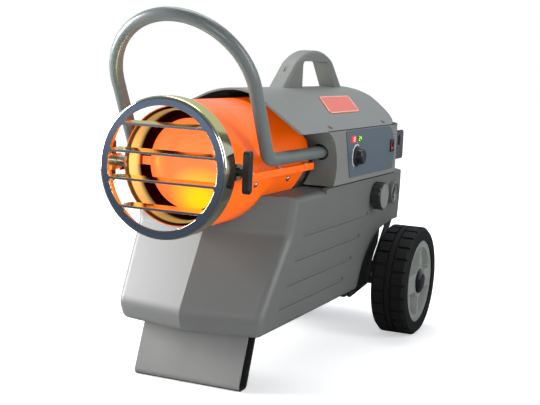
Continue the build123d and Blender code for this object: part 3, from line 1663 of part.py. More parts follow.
def make_cover_screws():
    """Screws through the hood's flanks into the housings, two to a side."""
    screws = [place * screw(cover_wall + lug_half) for place in cover_screw_places()]
    save(both_sides(gathered(screws)), "cover_screws")


make_drum()
make_shroud()
make_grille()
make_arms()
make_clamp_knob()
make_flame_parts()
make_burner()
make_fan()
make_motor()
make_fuel_line()
make_tank()
make_filler()
make_gauge()
make_hood()
make_carry_handle()
make_badge()
make_housings()
make_panel()
make_dial()
make_switch()
make_inner_boxes()
make_guard()
make_hooks()
make_tow_handle()
make_wheels()
make_axle_bracket()
make_foot()
make_cover_screws()
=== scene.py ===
from math import asin, atan2, cos, pi, radians, sin, sqrt

import bmesh
import bpy
from mathutils import Matrix, Vector


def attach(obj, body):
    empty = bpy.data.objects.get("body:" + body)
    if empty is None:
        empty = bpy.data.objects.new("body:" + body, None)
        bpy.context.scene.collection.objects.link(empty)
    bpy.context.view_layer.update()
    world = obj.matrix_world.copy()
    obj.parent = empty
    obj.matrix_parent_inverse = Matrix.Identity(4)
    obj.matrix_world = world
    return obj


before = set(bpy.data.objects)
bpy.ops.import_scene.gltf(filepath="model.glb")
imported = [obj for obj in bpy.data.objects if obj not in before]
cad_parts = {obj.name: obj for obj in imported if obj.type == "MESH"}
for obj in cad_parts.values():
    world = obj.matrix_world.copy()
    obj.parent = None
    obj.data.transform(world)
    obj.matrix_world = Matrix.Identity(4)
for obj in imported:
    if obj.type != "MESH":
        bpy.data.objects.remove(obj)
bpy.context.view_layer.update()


# ---------------------------------------------------------------- camera
# The photograph's viewpoint: from the front, a step to the control side, at table height, rolled slightly.
image_width = 540
sensor_width = 36
focal_px = 1090.4
camera_place = Vector((0.841, -1.873, 0.549))
camera_azimuth = 0.42092
camera_drop = 0.13293
camera_roll = 0.045577

forward = Vector((
    -sin(camera_azimuth) * cos(camera_drop),
    cos(camera_azimuth) * cos(camera_drop),
    -sin(camera_drop),
))
level_right = Vector((cos(camera_azimuth), sin(camera_azimuth), 0))
level_up = level_right.cross(forward)
right = level_right * cos(camera_roll) + level_up * sin(camera_roll)
up = level_up * cos(camera_roll) - level_right * sin(camera_roll)

camera_data = bpy.data.cameras.new("camera")
camera_data.sensor_width = sensor_width
camera_data.lens = focal_px / image_width * sensor_width
camera = bpy.data.objects.new("camera", camera_data)
camera.matrix_world = Matrix.Translation(camera_place) @ Matrix((right, up, -forward)).transposed().to_4x4()
bpy.context.scene.collection.objects.link(camera)
bpy.context.scene.camera = camera
bpy.context.scene.view_settings.view_transform = "Standard"


# ---------------------------------------------------------------- studio floor and light
# Matt white paper, lit by a strong softbox on the left and weaker ones on the right, above and in front.
# The camera sees the paper glow up to white away from the heater, and reflections see it as a darker grey.
def linear(hex_colour):
    """The linear RGBA of an sRGB hex colour."""
    channels = [int(hex_colour[i:i + 2], 16) / 255 for i in (1, 3, 5)]
    return (*[c / 12.92 if c <= 0.04045 else ((c + 0.055) / 1.055) ** 2.4 for c in channels], 1)


def add(material, kind, inputs=None, **settings):
    """Adds one node: settings are its properties, inputs its values or the sockets that feed it."""
    node = material.node_tree.nodes.new(kind)
    for name, value in settings.items():
        setattr(node, name, value)
    for name, value in (inputs or {}).items():
        if isinstance(value, bpy.types.NodeSocket):
            material.node_tree.links.new(value, node.inputs[name])
        else:
            node.inputs[name].default_value = value
    return node


def empty_material(name):
    """A material that has no nodes yet."""
    material = bpy.data.materials.new(name)
    material.use_nodes = True
    material.node_tree.nodes.clear()
    return material


floor_half = 12.0
near_glow = 0.42             # strength under the heater, for the camera
near_from, near_to = 0.7, 1.9    # it rises to 1 between these distances
far_glow = 0.42              # strength far away, for reflections
far_from, far_to = 1.5, 7.0      # it rises from 0 between these
floor_paper = empty_material("matt_white_paper")
floor_ray = add(floor_paper, "ShaderNodeLightPath")
paper_colour = add(floor_paper, "ShaderNodeMix", {
    "Factor": floor_ray.outputs["Is Glossy Ray"], 6: linear("#F7F7F7"), 7: linear("#54575A")},
    data_type="RGBA")
paper = add(floor_paper, "ShaderNodeBsdfDiffuse", {"Color": paper_colour.outputs[2]})
floor_place = add(floor_paper, "ShaderNodeTexCoord").outputs["Object"]
floor_distance = add(floor_paper, "ShaderNodeVectorMath", {0: floor_place}, operation="LENGTH")
fade = add(floor_paper, "ShaderNodeMapRange", {
    "Value": floor_distance.outputs["Value"], "From Min": near_from, "From Max": near_to,
    "To Min": near_glow, "To Max": 1.0})
near_lift = add(floor_paper, "ShaderNodeMath", {
    0: floor_ray.outputs["Is Camera Ray"], 1: fade.outputs[0]}, operation="MULTIPLY")
far = add(floor_paper, "ShaderNodeMapRange", {
    "Value": floor_distance.outputs["Value"], "From Min": far_from, "From Max": far_to,
    "To Min": 0.0, "To Max": far_glow})
floor_lift = add(floor_paper, "ShaderNodeMath", {
    0: floor_ray.outputs["Is Glossy Ray"], 1: far.outputs[0], 2: near_lift.outputs[0]},
    operation="MULTIPLY_ADD")
glow = add(floor_paper, "ShaderNodeEmission", {"Color": linear("#FFFFFF"), "Strength": floor_lift.outputs[0]})
floor_light = add(floor_paper, "ShaderNodeAddShader", {0: paper.outputs[0], 1: glow.outputs[0]})
add(floor_paper, "ShaderNodeOutputMaterial", {"Surface": floor_light.outputs[0]})
floor_mesh = bmesh.new()
bmesh.ops.create_grid(floor_mesh, x_segments=1, y_segments=1, size=floor_half)
floor_data = bpy.data.meshes.new("studio_floor")
floor_mesh.to_mesh(floor_data)
floor_mesh.free()
floor_data.materials.append(floor_paper)
studio_floor = bpy.data.objects.new("studio_floor", floor_data)
bpy.context.scene.collection.objects.link(studio_floor)

# The room is dark in front of the heater and light behind it; the camera itself sees plain white.
room_front = 0.05
room_rear = 0.5
room_turn = 0.5              # cosine to the view's direction, at each side of the change
room_sheen = 0.16            # more light that only reflections see
world = bpy.data.worlds.new("studio")
world.use_nodes = True
world.node_tree.nodes.clear()
bpy.context.scene.world = world
ray = add(world, "ShaderNodeLightPath")
direct = add(world, "ShaderNodeMath", {
    0: ray.outputs["Is Camera Ray"], 1: ray.outputs["Is Transmission Ray"]}, operation="MAXIMUM")
toward = add(world, "ShaderNodeNewGeometry")
frontness = add(world, "ShaderNodeVectorMath", {
    0: toward.outputs["Incoming"], 1: forward}, operation="DOT_PRODUCT")
room_light = add(world, "ShaderNodeMapRange", {
    "Value": frontness.outputs["Value"], "From Min": -room_turn, "From Max": room_turn,
    "To Min": room_rear, "To Max": room_front})
sheen = add(world, "ShaderNodeMath", {0: ray.outputs["Is Glossy Ray"], 1: room_sheen}, operation="MULTIPLY")
level = add(world, "ShaderNodeMath", {0: room_light.outputs[0], 1: sheen.outputs[0]}, operation="ADD")
air = add(world, "ShaderNodeBackground", {"Color": linear("#E6F0FF"), "Strength": level.outputs[0]})
backdrop = add(world, "ShaderNodeBackground", {"Color": linear("#FFFFFF"), "Strength": 1.0})
room = add(world, "ShaderNodeMixShader", {
    "Fac": direct.outputs[0], 1: air.outputs[0], 2: backdrop.outputs[0]})
add(world, "ShaderNodeOutputWorld", {"Surface": room.outputs[0]})


def softbox(name, place, target, width, height, power):
    """A soft rectangular lamp aimed at a point."""
    lamp = bpy.data.lights.new(name, "AREA")
    lamp.shape = "RECTANGLE"
    lamp.size, lamp.size_y, lamp.energy = width, height, power
    lamp_object = bpy.data.objects.new(name, lamp)
    aim = (Vector(target) - Vector(place)).to_track_quat("-Z", "Y")
    lamp_object.matrix_world = Matrix.Translation(place) @ aim.to_matrix().to_4x4()
    bpy.context.scene.collection.objects.link(lamp_object)


softbox("left_softbox", (-1.9, -0.75, 0.8), (0, -0.1, 0.3), 0.9, 1.4, 88)
softbox("right_softbox", (2.3, -0.1, 1.2), (0, -0.25, 0.4), 0.7, 1.6, 30)
softbox("top_softbox", (-0.3, 0.5, 2.4), (0, 0.1, 0.3), 1.4, 1.4, 32)
softbox("front_softbox", (0.7, -2.3, 0.8), (0, -0.3, 0.15), 0.7, 0.7, 9)


# ---------------------------------------------------------------- fuel tank
# Blow-moulded polyethylene in one piece, with a screwed plug low on its side.
# A bent sheet follows each wheel arch behind the edge of the tank's side, as painted shade: it stands in for
# the tank's rounded edge turning into shadow there.
def dress(material, *names):
    """Gives CAD nodes their finish."""
    for name in names:
        for node_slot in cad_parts[name].material_slots:
            node_slot.material = material


cloud_mm = 70


def moulded_plastic(name, colour, roughness, grain_mm, grain_depth_mm, mottle=0.04, coat=0.0):
    """A moulded surface: its mould's grain, drawn coarse enough to show, and faint clouds in its colour."""
    material = empty_material(name)
    place = add(material, "ShaderNodeTexCoord").outputs["Object"]
    cloud = add(material, "ShaderNodeTexNoise", {"Vector": place, "Scale": 1000 / cloud_mm, "Detail": 3.0})
    base = Vector(linear(colour)[:3])
    darker, lighter = [(*(base * share), 1) for share in (1 - mottle, 1 + mottle)]
    tint = add(material, "ShaderNodeMix", {
        "Factor": cloud.outputs["Fac"], 6: darker, 7: lighter}, data_type="RGBA")
    grain = add(material, "ShaderNodeTexNoise", {"Vector": place, "Scale": 1000 / grain_mm, "Detail": 2.0})
    bump = add(material, "ShaderNodeBump", {
        "Height": grain.outputs["Fac"], "Strength": 1.0, "Distance": grain_depth_mm / 1000})
    shader = add(material, "ShaderNodeBsdfPrincipled", {
        "Base Color": tint.outputs[2], "Roughness": roughness, "Coat Weight": coat,
        "Normal": bump.outputs[0]})
    add(material, "ShaderNodeOutputMaterial", {"Surface": shader.outputs[0]})
    return material


# The tank's skin is waxy: a soft sheen over an even grain.
tank_polyethylene = moulded_plastic("grained_grey_polyethylene", "#6E6F6D", 0.42, 1.2, 0.05)
dress(tank_polyethylene, "fuel_tank")
# Nylon, near black, with the same sheen and a finer grain. Knobs, plugs and bushes share it.
black_plastic = moulded_plastic("black_moulded_plastic", "#1D1D1E", 0.42, 0.9, 0.03)
dress(black_plastic, "drain_plug")

# New pieces are made in millimetres: x from the middle plane, y behind the grille's front face,
# z from the floor.
front_y = 413


def at(x, y, z):
    """A point of the frame in metres."""
    return Vector((x, y - front_y, z)) / 1000


def finish_piece(name, mesh, material, body, smooth=False):
    """Turns a mesh into a piece that rides on a body."""
    bmesh.ops.recalc_face_normals(mesh, faces=mesh.faces)
    data = bpy.data.meshes.new(name)
    mesh.to_mesh(data)
    mesh.free()
    data.materials.append(material)
    for polygon in data.polygons:
        polygon.use_smooth = smooth
    piece = bpy.data.objects.new(name, data)
    bpy.context.scene.collection.objects.link(piece)
    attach(piece, body)


arch_points = (Vector((562, 97)), Vector((586, 168)), Vector((655, 211)))    # y and z on the arch's edge
tank_foot_x, tank_foot_z = 133, 93       # the lower end of the tank's side
tank_draft = 0.0952          # the side leans out by this share of its height
shade_sheet_width = 82             # at the lower front end
shade_sheet_narrow = 40            # at the upper rear end
shade_sheet_lean = 3
shade_sheet_thickness = 2.5
shade_sheet_gap = 1.0
shade_sheet_along, shade_sheet_across = 24, 6        # steps of its mesh


def circle_through(a, b, c):
    """The centre of the circle through three points."""
    turn = 2 * (a.x * (b.y - c.y) + b.x * (c.y - a.y) + c.x * (a.y - b.y))
    squares = [point.length_squared for point in (a, b, c)]
    return Vector((
        (squares[0] * (b.y - c.y) + squares[1] * (c.y - a.y) + squares[2] * (a.y - b.y)) / turn,
        (squares[0] * (c.x - b.x) + squares[1] * (a.x - c.x) + squares[2] * (b.x - a.x)) / turn))


arch_centre = circle_through(*arch_points)
arch_r = (arch_points[0] - arch_centre).length
arch_from, arch_to = [
    atan2(*(point - arch_centre).yx) % (2 * pi) for point in (arch_points[0], arch_points[2])]


def shade_sheet_point(along, inward):
    """A point of the shade sheet's outer face, by its shares of the way along the arch and in from its edge.
    """
    angle = arch_from + (arch_to - arch_from) * along
    width = shade_sheet_width + (shade_sheet_narrow - shade_sheet_width) * along ** 2
    spot = arch_centre + Vector((cos(angle), sin(angle))) * (arch_r - width * inward)
    bend = 1 - sqrt(max(1 - inward ** 2, 0))
    x = tank_foot_x + tank_draft * (spot.y - tank_foot_z) - shade_sheet_gap - shade_sheet_lean * bend
    return at(x, spot.x, spot.y)


def thicken(mesh, faces, across):
    """Gives an open sheet its thickness in millimetres, by a copy of its faces moved across it."""
    made = bmesh.ops.extrude_face_region(mesh, geom=faces)["geom"]
    moved = [part for part in made if isinstance(part, bmesh.types.BMVert)]
    bmesh.ops.translate(mesh, vec=Vector(across) / 1000, verts=moved)


shade_sheets = bmesh.new()
bmesh.ops.create_grid(shade_sheets, x_segments=shade_sheet_along, y_segments=shade_sheet_across, size=0.5)
for vert in shade_sheets.verts:
    vert.co = shade_sheet_point(vert.co.x + 0.5, vert.co.y + 0.5)
thicken(shade_sheets, shade_sheets.faces[:], (-shade_sheet_thickness, 0, 0))
bmesh.ops.mirror(shade_sheets, geom=shade_sheets.verts[:] + shade_sheets.edges[:] + shade_sheets.faces[:], axis="X")
# Dark polypropylene sheet, duller than the tank: painted shade, so that the arch reads as a shadow.
arch_shade_plastic = moulded_plastic("dark_arch_shade_plastic", "#343433", 0.6, 1.2, 0.03)
finish_piece("arch_shade_sheets", shade_sheets, arch_shade_plastic, "heater_body", smooth=True)


# ---------------------------------------------------------------- filler cap and gauge
# A fluted cap on a moulded neck, grey, with painted shade that makes it black round its skirt. Beside it a
# float's needle turns in front of a pale face, under a clear window.
def shader_of(material):
    """The surface shader of a finish."""
    return material.node_tree.nodes["Principled BSDF"]


def paint_shade(material, share, other):
    """Blends a darker colour in as painted shade where the share falls to zero."""
    base = shader_of(material).inputs["Base Color"]
    mixed = add(material, "ShaderNodeMix", {
        "Factor": share, 6: linear(other), 7: base.links[0].from_socket}, data_type="RGBA")
    material.node_tree.links.new(mixed.outputs[2], base)


# What faces outward is grey; the skirt, which faces up, down and along, is painted near black as painted
# shade.
cap_skirt, cap_face = 0.8, 0.95          # x of the normal
cap_plastic = moulded_plastic("paint_shade_cap_plastic", "#858585", 0.45, 0.9, 0.03)
cap_point = add(cap_plastic, "ShaderNodeNewGeometry")
cap_facing = add(cap_plastic, "ShaderNodeSeparateXYZ", {"Vector": cap_point.outputs["Normal"]})
skirt_shade_share = add(cap_plastic, "ShaderNodeMapRange", {
    "Value": cap_facing.outputs["X"], "From Min": cap_skirt, "From Max": cap_face,
    "To Min": 0.0, "To Max": 1.0})
paint_shade(cap_plastic, skirt_shade_share.outputs[0], "#2A2A2B")
dress(cap_plastic, "fuel_cap")
dress(black_plastic, "filler_neck", "gauge_float")
dress(tank_polyethylene, "gauge_housing")

# The window is polished polycarbonate, so the face shows through it under a sharp reflection.
clear_plastic = empty_material("clear_polycarbonate")
clear_shader = add(clear_plastic, "ShaderNodeBsdfPrincipled", {
    "Base Color": linear("#FFFFFF"), "Roughness": 0.06, "Transmission Weight": 1.0, "IOR": 1.58})
add(clear_plastic, "ShaderNodeOutputMaterial", {"Surface": clear_shader.outputs[0]})
dress(clear_plastic, "gauge_lens")

# A smooth needle in signal red.
needle_red = moulded_plastic("red_needle_plastic", "#D0281C", 0.35, 0.9, 0.0)
dress(needle_red, "gauge_needle")


def around(centre, radius, angle):
    """A point round a centre, in the plane of the side faces."""
    x, y, z = centre
    return x, y + cos(angle) * radius, z + sin(angle) * radius


def add_print(mesh, outline, thickness):
    """Raised print of a given outline on a side face."""
    face = mesh.faces.new([mesh.verts.new(at(*point)) for point in outline])
    thicken(mesh, [face], (thickness, 0, 0))


def add_ticks(mesh, centre, radii, angles, half_angle, thickness):
    """Marks across a dial, one at each angle."""
    inner_r, outer_r = radii
    for angle in angles:
        low, high = angle - half_angle, angle + half_angle
        corners = ((inner_r, low), (inner_r, high), (outer_r, high), (outer_r, low))
        add_print(mesh, [around(centre, r, a) for r, a in corners], thickness)


gauge_face_x = 155.72
gauge_y, gauge_z = 688, 282
gauge_face_sheet = 0.14
gauge_face_rs = (3.2, 19.8)
gauge_face_sides = 48
gauge_tick_rs = (14.5, 18.5)
gauge_tick_sheet = 0.06
gauge_tick_half = 0.03       # radians
gauge_tick_angles = [radians(135 + i * 15) for i in range(7)]
gauge_place = Matrix.Translation(at(gauge_face_x, gauge_y, gauge_z)) @ Matrix.Rotation(pi / 2, 4, "Y")
gauge_face_mesh = bmesh.new()
for r in gauge_face_rs:
    bmesh.ops.create_circle(gauge_face_mesh, segments=gauge_face_sides, radius=r / 1000, matrix=gauge_place)
bmesh.ops.bridge_loops(gauge_face_mesh, edges=gauge_face_mesh.edges[:])
thicken(gauge_face_mesh, gauge_face_mesh.faces[:], (gauge_face_sheet, 0, 0))
# Screen-printed ink, pale and matt, with black marks over it.
gauge_print = moulded_plastic("pale_gauge_face", "#C4C4BE", 0.5, 1.0, 0.0, 0.0)
finish_piece("gauge_face", gauge_face_mesh, gauge_print, "heater_body")
gauge_tick_mesh = bmesh.new()
gauge_tick_centre = (gauge_face_x + gauge_face_sheet, gauge_y, gauge_z)
add_ticks(
    gauge_tick_mesh, gauge_tick_centre, gauge_tick_rs, gauge_tick_angles, gauge_tick_half, gauge_tick_sheet)
finish_piece("gauge_ticks", gauge_tick_mesh, black_plastic, "heater_body")


# ---------------------------------------------------------------- outlet drum
# Two rolled steel half shells in orange enamel, screwed together along side flanges, with a turned boss
# on each side for the grille.
bake_mm = 60
bake_shares = (0.97, 1.02)


def enamel(name, colour, roughness, coat, ripple_mm=9.0, ripple_depth_mm=0.05):
    """Baked paint over sheet steel, with the slow ripple of the sheet under it."""
    material = empty_material(name)
    place = add(material, "ShaderNodeTexCoord").outputs["Object"]
    ripple = add(material, "ShaderNodeTexNoise", {"Vector": place, "Scale": 1000 / ripple_mm, "Detail": 1.0})
    bump = add(material, "ShaderNodeBump", {
        "Height": ripple.outputs["Fac"], "Strength": 1.0, "Distance": ripple_depth_mm / 1000})
    cloud = add(material, "ShaderNodeTexNoise", {"Vector": place, "Scale": 1000 / bake_mm, "Detail": 3.0})
    base = Vector(linear(colour)[:3])
    darker, lighter = [(*(base * share), 1) for share in bake_shares]
    tint = add(material, "ShaderNodeMix", {
        "Factor": cloud.outputs["Fac"], 6: darker, 7: lighter}, data_type="RGBA")
    shader = add(material, "ShaderNodeBsdfPrincipled", {
        "Base Color": tint.outputs[2], "Roughness": roughness, "Coat Weight": coat, "Coat Roughness": 0.08,
        "Normal": bump.outputs[0]})
    add(material, "ShaderNodeOutputMaterial", {"Surface": shader.outputs[0]})
    return material


# Heat-resistant enamel, glossy and saturated, with a painted glow of its own that only the camera sees.
# Inside, towards the axis, it is painted dark brown as painted shade. Its light on its neighbours is toned
# down.
drum_axis = (0, 0, 0.37)
inner_shade_full_at, inner_shade_none_at = -0.06, -0.03       # metres from the axis, negative where the sheet faces it
drum_painted_glow = 0.34
orange_enamel = enamel("heat_resistant_orange_enamel", "#FF6A00", 0.34, 0.1)
enamel_point = add(orange_enamel, "ShaderNodeNewGeometry")
from_axis = add(orange_enamel, "ShaderNodeVectorMath", {
    0: enamel_point.outputs["Position"], 1: drum_axis}, operation="SUBTRACT")
radial = add(orange_enamel, "ShaderNodeVectorMath", {
    0: from_axis.outputs[0], 1: (1, 0, 1)}, operation="MULTIPLY")
outwardness = add(orange_enamel, "ShaderNodeVectorMath", {
    0: radial.outputs[0], 1: enamel_point.outputs["Normal"]}, operation="DOT_PRODUCT")
outer_share = add(orange_enamel, "ShaderNodeMapRange", {
    "Value": outwardness.outputs["Value"], "From Min": inner_shade_full_at, "From Max": inner_shade_none_at,
    "To Min": 0.0, "To Max": 1.0})
# Painted shade: the faces towards the axis turn dark brown.
paint_shade(orange_enamel, outer_share.outputs[0], "#3A1408")
seen = add(orange_enamel, "ShaderNodeLightPath")
not_bounced = add(orange_enamel, "ShaderNodeMath", {
    0: 1.0, 1: seen.outputs["Is Diffuse Ray"]}, operation="SUBTRACT")
paint_shade(orange_enamel, not_bounced.outputs[0], "#4A3A2C")
# Painted glow: the camera sees the outer faces give light of their own.
seen_share = add(orange_enamel, "ShaderNodeMath", {
    0: outer_share.outputs[0], 1: seen.outputs["Is Camera Ray"]}, operation="MULTIPLY")
painted_glow_strength = add(orange_enamel, "ShaderNodeMath", {
    0: seen_share.outputs[0], 1: drum_painted_glow}, operation="MULTIPLY")
enamel_shader = shader_of(orange_enamel)
orange_enamel.node_tree.links.new(painted_glow_strength.outputs[0], enamel_shader.inputs["Emission Strength"])
enamel_shader.inputs["Emission Color"].default_value = linear("#FF5C00")
dress(orange_enamel, "drum_upper_shell", "drum_lower_shell")


def plated_steel(name, colour, roughness, streak_mm=0.8, streak=0.05):
    """Metal with a plated or rolled skin and faint streaks in its gloss."""
    material = empty_material(name)
    place = add(material, "ShaderNodeTexCoord").outputs["Object"]
    streaks = add(material, "ShaderNodeTexNoise", {"Vector": place, "Scale": 1000 / streak_mm, "Detail": 2.0})
    rough = add(material, "ShaderNodeMapRange", {
        "Value": streaks.outputs["Fac"], "To Min": max(roughness - streak, 0.02),
        "To Max": roughness + streak})
    shader = add(material, "ShaderNodeBsdfPrincipled", {
        "Base Color": linear(colour), "Metallic": 1.0, "Roughness": rough.outputs[0]})
    add(material, "ShaderNodeOutputMaterial", {"Surface": shader.outputs[0]})
    return material


# Zinc plate: a pale, slightly blurred mirror.
zinc = plated_steel("bright_zinc_plate", "#C9C9C4", 0.3)
dress(zinc, "drum_screws", "pivot_bosses")


# ---------------------------------------------------------------- outlet grille
# A spun steel ring with four louvre blades seated across it, on two arms held by clamp knobs.
# It is chrome plated, and each of its five openings has a thin rolled rim.
# The plate is a near mirror, with painted reflections in its colour by the way each face points: cool on its
# front, warm on its sides and yellow where it faces up.
front_full, front_none = -0.97, -0.75    # y of the normal
yellow_none, yellow_full = 0.35, 0.7     # z of the normal
chrome = empty_material("chrome_plate_painted_reflections")
facing = add(chrome, "ShaderNodeNewGeometry")
facing_axis = add(chrome, "ShaderNodeSeparateXYZ", {"Vector": facing.outputs["Normal"]})
front_reflection_share = add(chrome, "ShaderNodeMapRange", {
    "Value": facing_axis.outputs["Y"], "From Min": front_full, "From Max": front_none,
    "To Min": 1.0, "To Max": 0.0})
top_reflection_share = add(chrome, "ShaderNodeMapRange", {
    "Value": facing_axis.outputs["Z"], "From Min": yellow_none, "From Max": yellow_full,
    "To Min": 0.0, "To Max": 1.0})
side_reflection_tint = add(chrome, "ShaderNodeMix", {
    "Factor": top_reflection_share.outputs[0], 6: linear("#E6DDBE"), 7: linear("#F0E68A")}, data_type="RGBA")
painted_reflection_tint = add(chrome, "ShaderNodeMix", {
    "Factor": front_reflection_share.outputs[0], 6: side_reflection_tint.outputs[2], 7: linear("#A3B2CC")}, data_type="RGBA")
chrome_shader = add(chrome, "ShaderNodeBsdfPrincipled", {
    "Base Color": painted_reflection_tint.outputs[2], "Metallic": 1.0, "Roughness": 0.12})
add(chrome, "ShaderNodeOutputMaterial", {"Surface": chrome_shader.outputs[0]})
dress(chrome, "grille_ring", "grille_louvres", "grille_arms")
dress(black_plastic, "clamp_knob_left", "clamp_knob_right")


def add_loop(mesh, points, across, radius, sides=8):
    """A thin rod closed on itself along points in millimetres; across is the normal of the loop's plane."""
    count = len(points)
    across = Vector(across).normalized()
    rings = []
    for i in range(count):
        along = (points[(i + 1) % count] - points[i - 1]).normalized()
        outward = along.cross(across)
        rings.append([
            mesh.verts.new(at(*(points[i] + (outward * cos(a) + across * sin(a)) * radius)))
            for a in (2 * pi * k / sides for k in range(sides))])
    for i in range(count):
        low, high = rings[i], rings[(i + 1) % count]
        for k in range(sides):
            mesh.faces.new((low[k], low[(k + 1) % sides], high[(k + 1) % sides], high[k]))


ring_z = 370
opening_r = 98.0
louvre_zs = (-65.33, -21.78, 21.78, 65.33)
louvre_half = 1.2
rim_y = 1
rim_r = 0.9
rim_arc_steps = 24
rim_corner = 5.0
rim_corner_start = rim_corner * 0.9      # the arc ends this far above or below a louvre
rim_corner_steps = (0, 0.25, 0.5, 0.75)
rim_shortest_step = 0.3
same_height = 0.01


def opening_outline(low, high):
    """The edge of one opening between two heights from the axis, bent where an arc meets a louvre."""
    first, last = asin(low / opening_r), asin(high / opening_r)
    turns = [first + (last - first) * k / rim_arc_steps for k in range(rim_arc_steps + 1)]
    arc = [Vector((opening_r * cos(a), rim_y, ring_z + opening_r * sin(a))) for a in turns]
    mirrored = [Vector((-point.x, rim_y, point.z)) for point in reversed(arc)]
    louvres = [edge for edge in (low, high) if abs(edge) < opening_r]
    loop = []
    for run, inward in ((arc, -1), (mirrored, 1)):
        kept = [
            point for point in run
            if all(abs(point.z - ring_z - edge) > rim_corner_start for edge in louvres)]
        bends = []
        for corner, near in ((run[0], kept[0]), (run[-1], kept[-1])):
            at_louvre = any(abs(corner.z - ring_z - edge) < same_height for edge in louvres)
            bends.append([
                corner + Vector((inward * rim_corner, 0, 0)) * (1 - t) ** 2 + (near - corner) * t ** 2
                for t in rim_corner_steps if at_louvre])
        loop += [*bends[0], *kept, *reversed(bends[1])]
    spaced = [loop[0]]
    for point in loop[1:]:
        if (point - spaced[-1]).length > rim_shortest_step:
            spaced.append(point)
    if (spaced[0] - spaced[-1]).length < rim_shortest_step:
        spaced.pop()
    return spaced


rims = bmesh.new()
louvre_edges = [z + side * louvre_half for z in louvre_zs for side in (-1, 1)]
opening_edges = [-opening_r, *louvre_edges, opening_r]
for low, high in zip(opening_edges[::2], opening_edges[1::2]):
    add_loop(rims, opening_outline(low, high), (0, 1, 0), rim_r)
# Polished by rolling; its warm colour is a painted reflection of the glow behind it, so it draws a bright
# warm line.
rim_steel = plated_steel("rolled_edge_painted_reflection", "#FFE2C0", 0.25)
finish_piece("opening_rims", rims, rim_steel, "outlet_grille", smooth=True)


# ---------------------------------------------------------------- flame tube and disc
# A stainless tube with a disc held on tabs in its mouth, and the burner's parts behind them.
# Its colour is painted: brown deeper in, as painted shade, and golden at its mouth, as a painted reflection
# with a painted glow, most at the height of the flame.
mouth_full, mouth_none = -0.337, -0.323  # y in metres
flame_z = 0.365
flame_near, flame_far = 0.012, 0.075
mouth_glow, mouth_dim = 1.1, 0.42
painted_glow_steel = empty_material("stainless_painted_glow_and_shade")
hot_place = add(painted_glow_steel, "ShaderNodeTexCoord").outputs["Object"]
hot_depth = add(painted_glow_steel, "ShaderNodeSeparateXYZ", {"Vector": hot_place})
golden = add(painted_glow_steel, "ShaderNodeMapRange", {
    "Value": hot_depth.outputs["Y"], "From Min": mouth_full, "From Max": mouth_none,
    "To Min": 1.0, "To Max": 0.0})
hot_rise = add(painted_glow_steel, "ShaderNodeMath", {0: hot_depth.outputs["Z"], 1: flame_z}, operation="SUBTRACT")
hot_away = add(painted_glow_steel, "ShaderNodeMath", {0: hot_rise.outputs[0]}, operation="ABSOLUTE")
hot_level = add(painted_glow_steel, "ShaderNodeMapRange", {
    "Value": hot_away.outputs[0], "From Min": flame_near, "From Max": flame_far,
    "To Min": mouth_glow, "To Max": mouth_dim})
painted_mouth_glow = add(painted_glow_steel, "ShaderNodeMath", {
    0: golden.outputs[0], 1: hot_level.outputs[0]}, operation="MULTIPLY")
glow_and_shade_tint = add(painted_glow_steel, "ShaderNodeMix", {
    "Factor": golden.outputs[0], 6: linear("#8A4414"), 7: linear("#F2B060")}, data_type="RGBA")
hot_shader = add(painted_glow_steel, "ShaderNodeBsdfPrincipled", {
    "Base Color": glow_and_shade_tint.outputs[2], "Metallic": 1.0, "Roughness": 0.22,
    "Emission Color": linear("#FFCE78"), "Emission Strength": painted_mouth_glow.outputs[0]})
add(painted_glow_steel, "ShaderNodeOutputMaterial", {"Surface": hot_shader.outputs[0]})
dress(painted_glow_steel, "flame_tube", "burner_head")

# The disc's salmon glow is painted, and so is a yellow pool of light near its lower edge.
painted_light_spot = (0.024, -0.33, 0.312)
spot_core, spot_edge = 0.006, 0.06
disc_glow = 0.62
painted_glow_disc = empty_material("steel_disc_painted_glow")
disc_place = add(painted_glow_disc, "ShaderNodeTexCoord").outputs["Object"]
spot_distance = add(painted_glow_disc, "ShaderNodeVectorMath", {0: disc_place, 1: painted_light_spot}, operation="DISTANCE")
spot = add(painted_glow_disc, "ShaderNodeMapRange", {
    "Value": spot_distance.outputs["Value"], "From Min": spot_core, "From Max": spot_edge,
    "To Min": 1.0, "To Max": 0.0})
disc_colour = add(painted_glow_disc, "ShaderNodeMix", {
    "Factor": spot.outputs[0], 6: linear("#FF8448"), 7: linear("#FFE400")}, data_type="RGBA")
disc_shader = add(painted_glow_disc, "ShaderNodeBsdfPrincipled", {
    "Base Color": disc_colour.outputs[2], "Roughness": 0.2, "Coat Weight": 0.6, "Coat Roughness": 0.1,
    "Emission Color": disc_colour.outputs[2], "Emission Strength": disc_glow})
add(painted_glow_disc, "ShaderNodeOutputMaterial", {"Surface": disc_shader.outputs[0]})
dress(painted_glow_disc, "flame_disc")

# Turned brass, glazed ceramic and drawn copper keep their own bright colours.
brass = plated_steel("turned_brass", "#C9A25A", 0.3)
dress(brass, "fuel_nozzle")
ceramic = moulded_plastic("glazed_white_ceramic", "#E9E4D8", 0.25, 1.0, 0.01)
dress(ceramic, "igniter_electrodes")
dress(black_plastic, "flame_sensor")
copper = plated_steel("drawn_copper", "#C0764C", 0.28)
dress(copper, "fuel_line")


# ---------------------------------------------------------------- fan, motor and pump
# A pressed aluminium fan on the motor's shaft in a zinc-plated shroud, and a cast pump behind it.
# The aluminium is satin and pale.
fan_aluminium = plated_steel("pressed_aluminium", "#C8CACC", 0.38)
dress(fan_aluminium, "fan", "air_pump")
dress(zinc, "fan_shroud", "motor_shaft", "motor_bracket")
# The motor's enamel is thick and half matt.
motor_enamel = enamel("dark_grey_motor_enamel", "#2A2D30", 0.5, 0.1)
dress(motor_enamel, "motor")


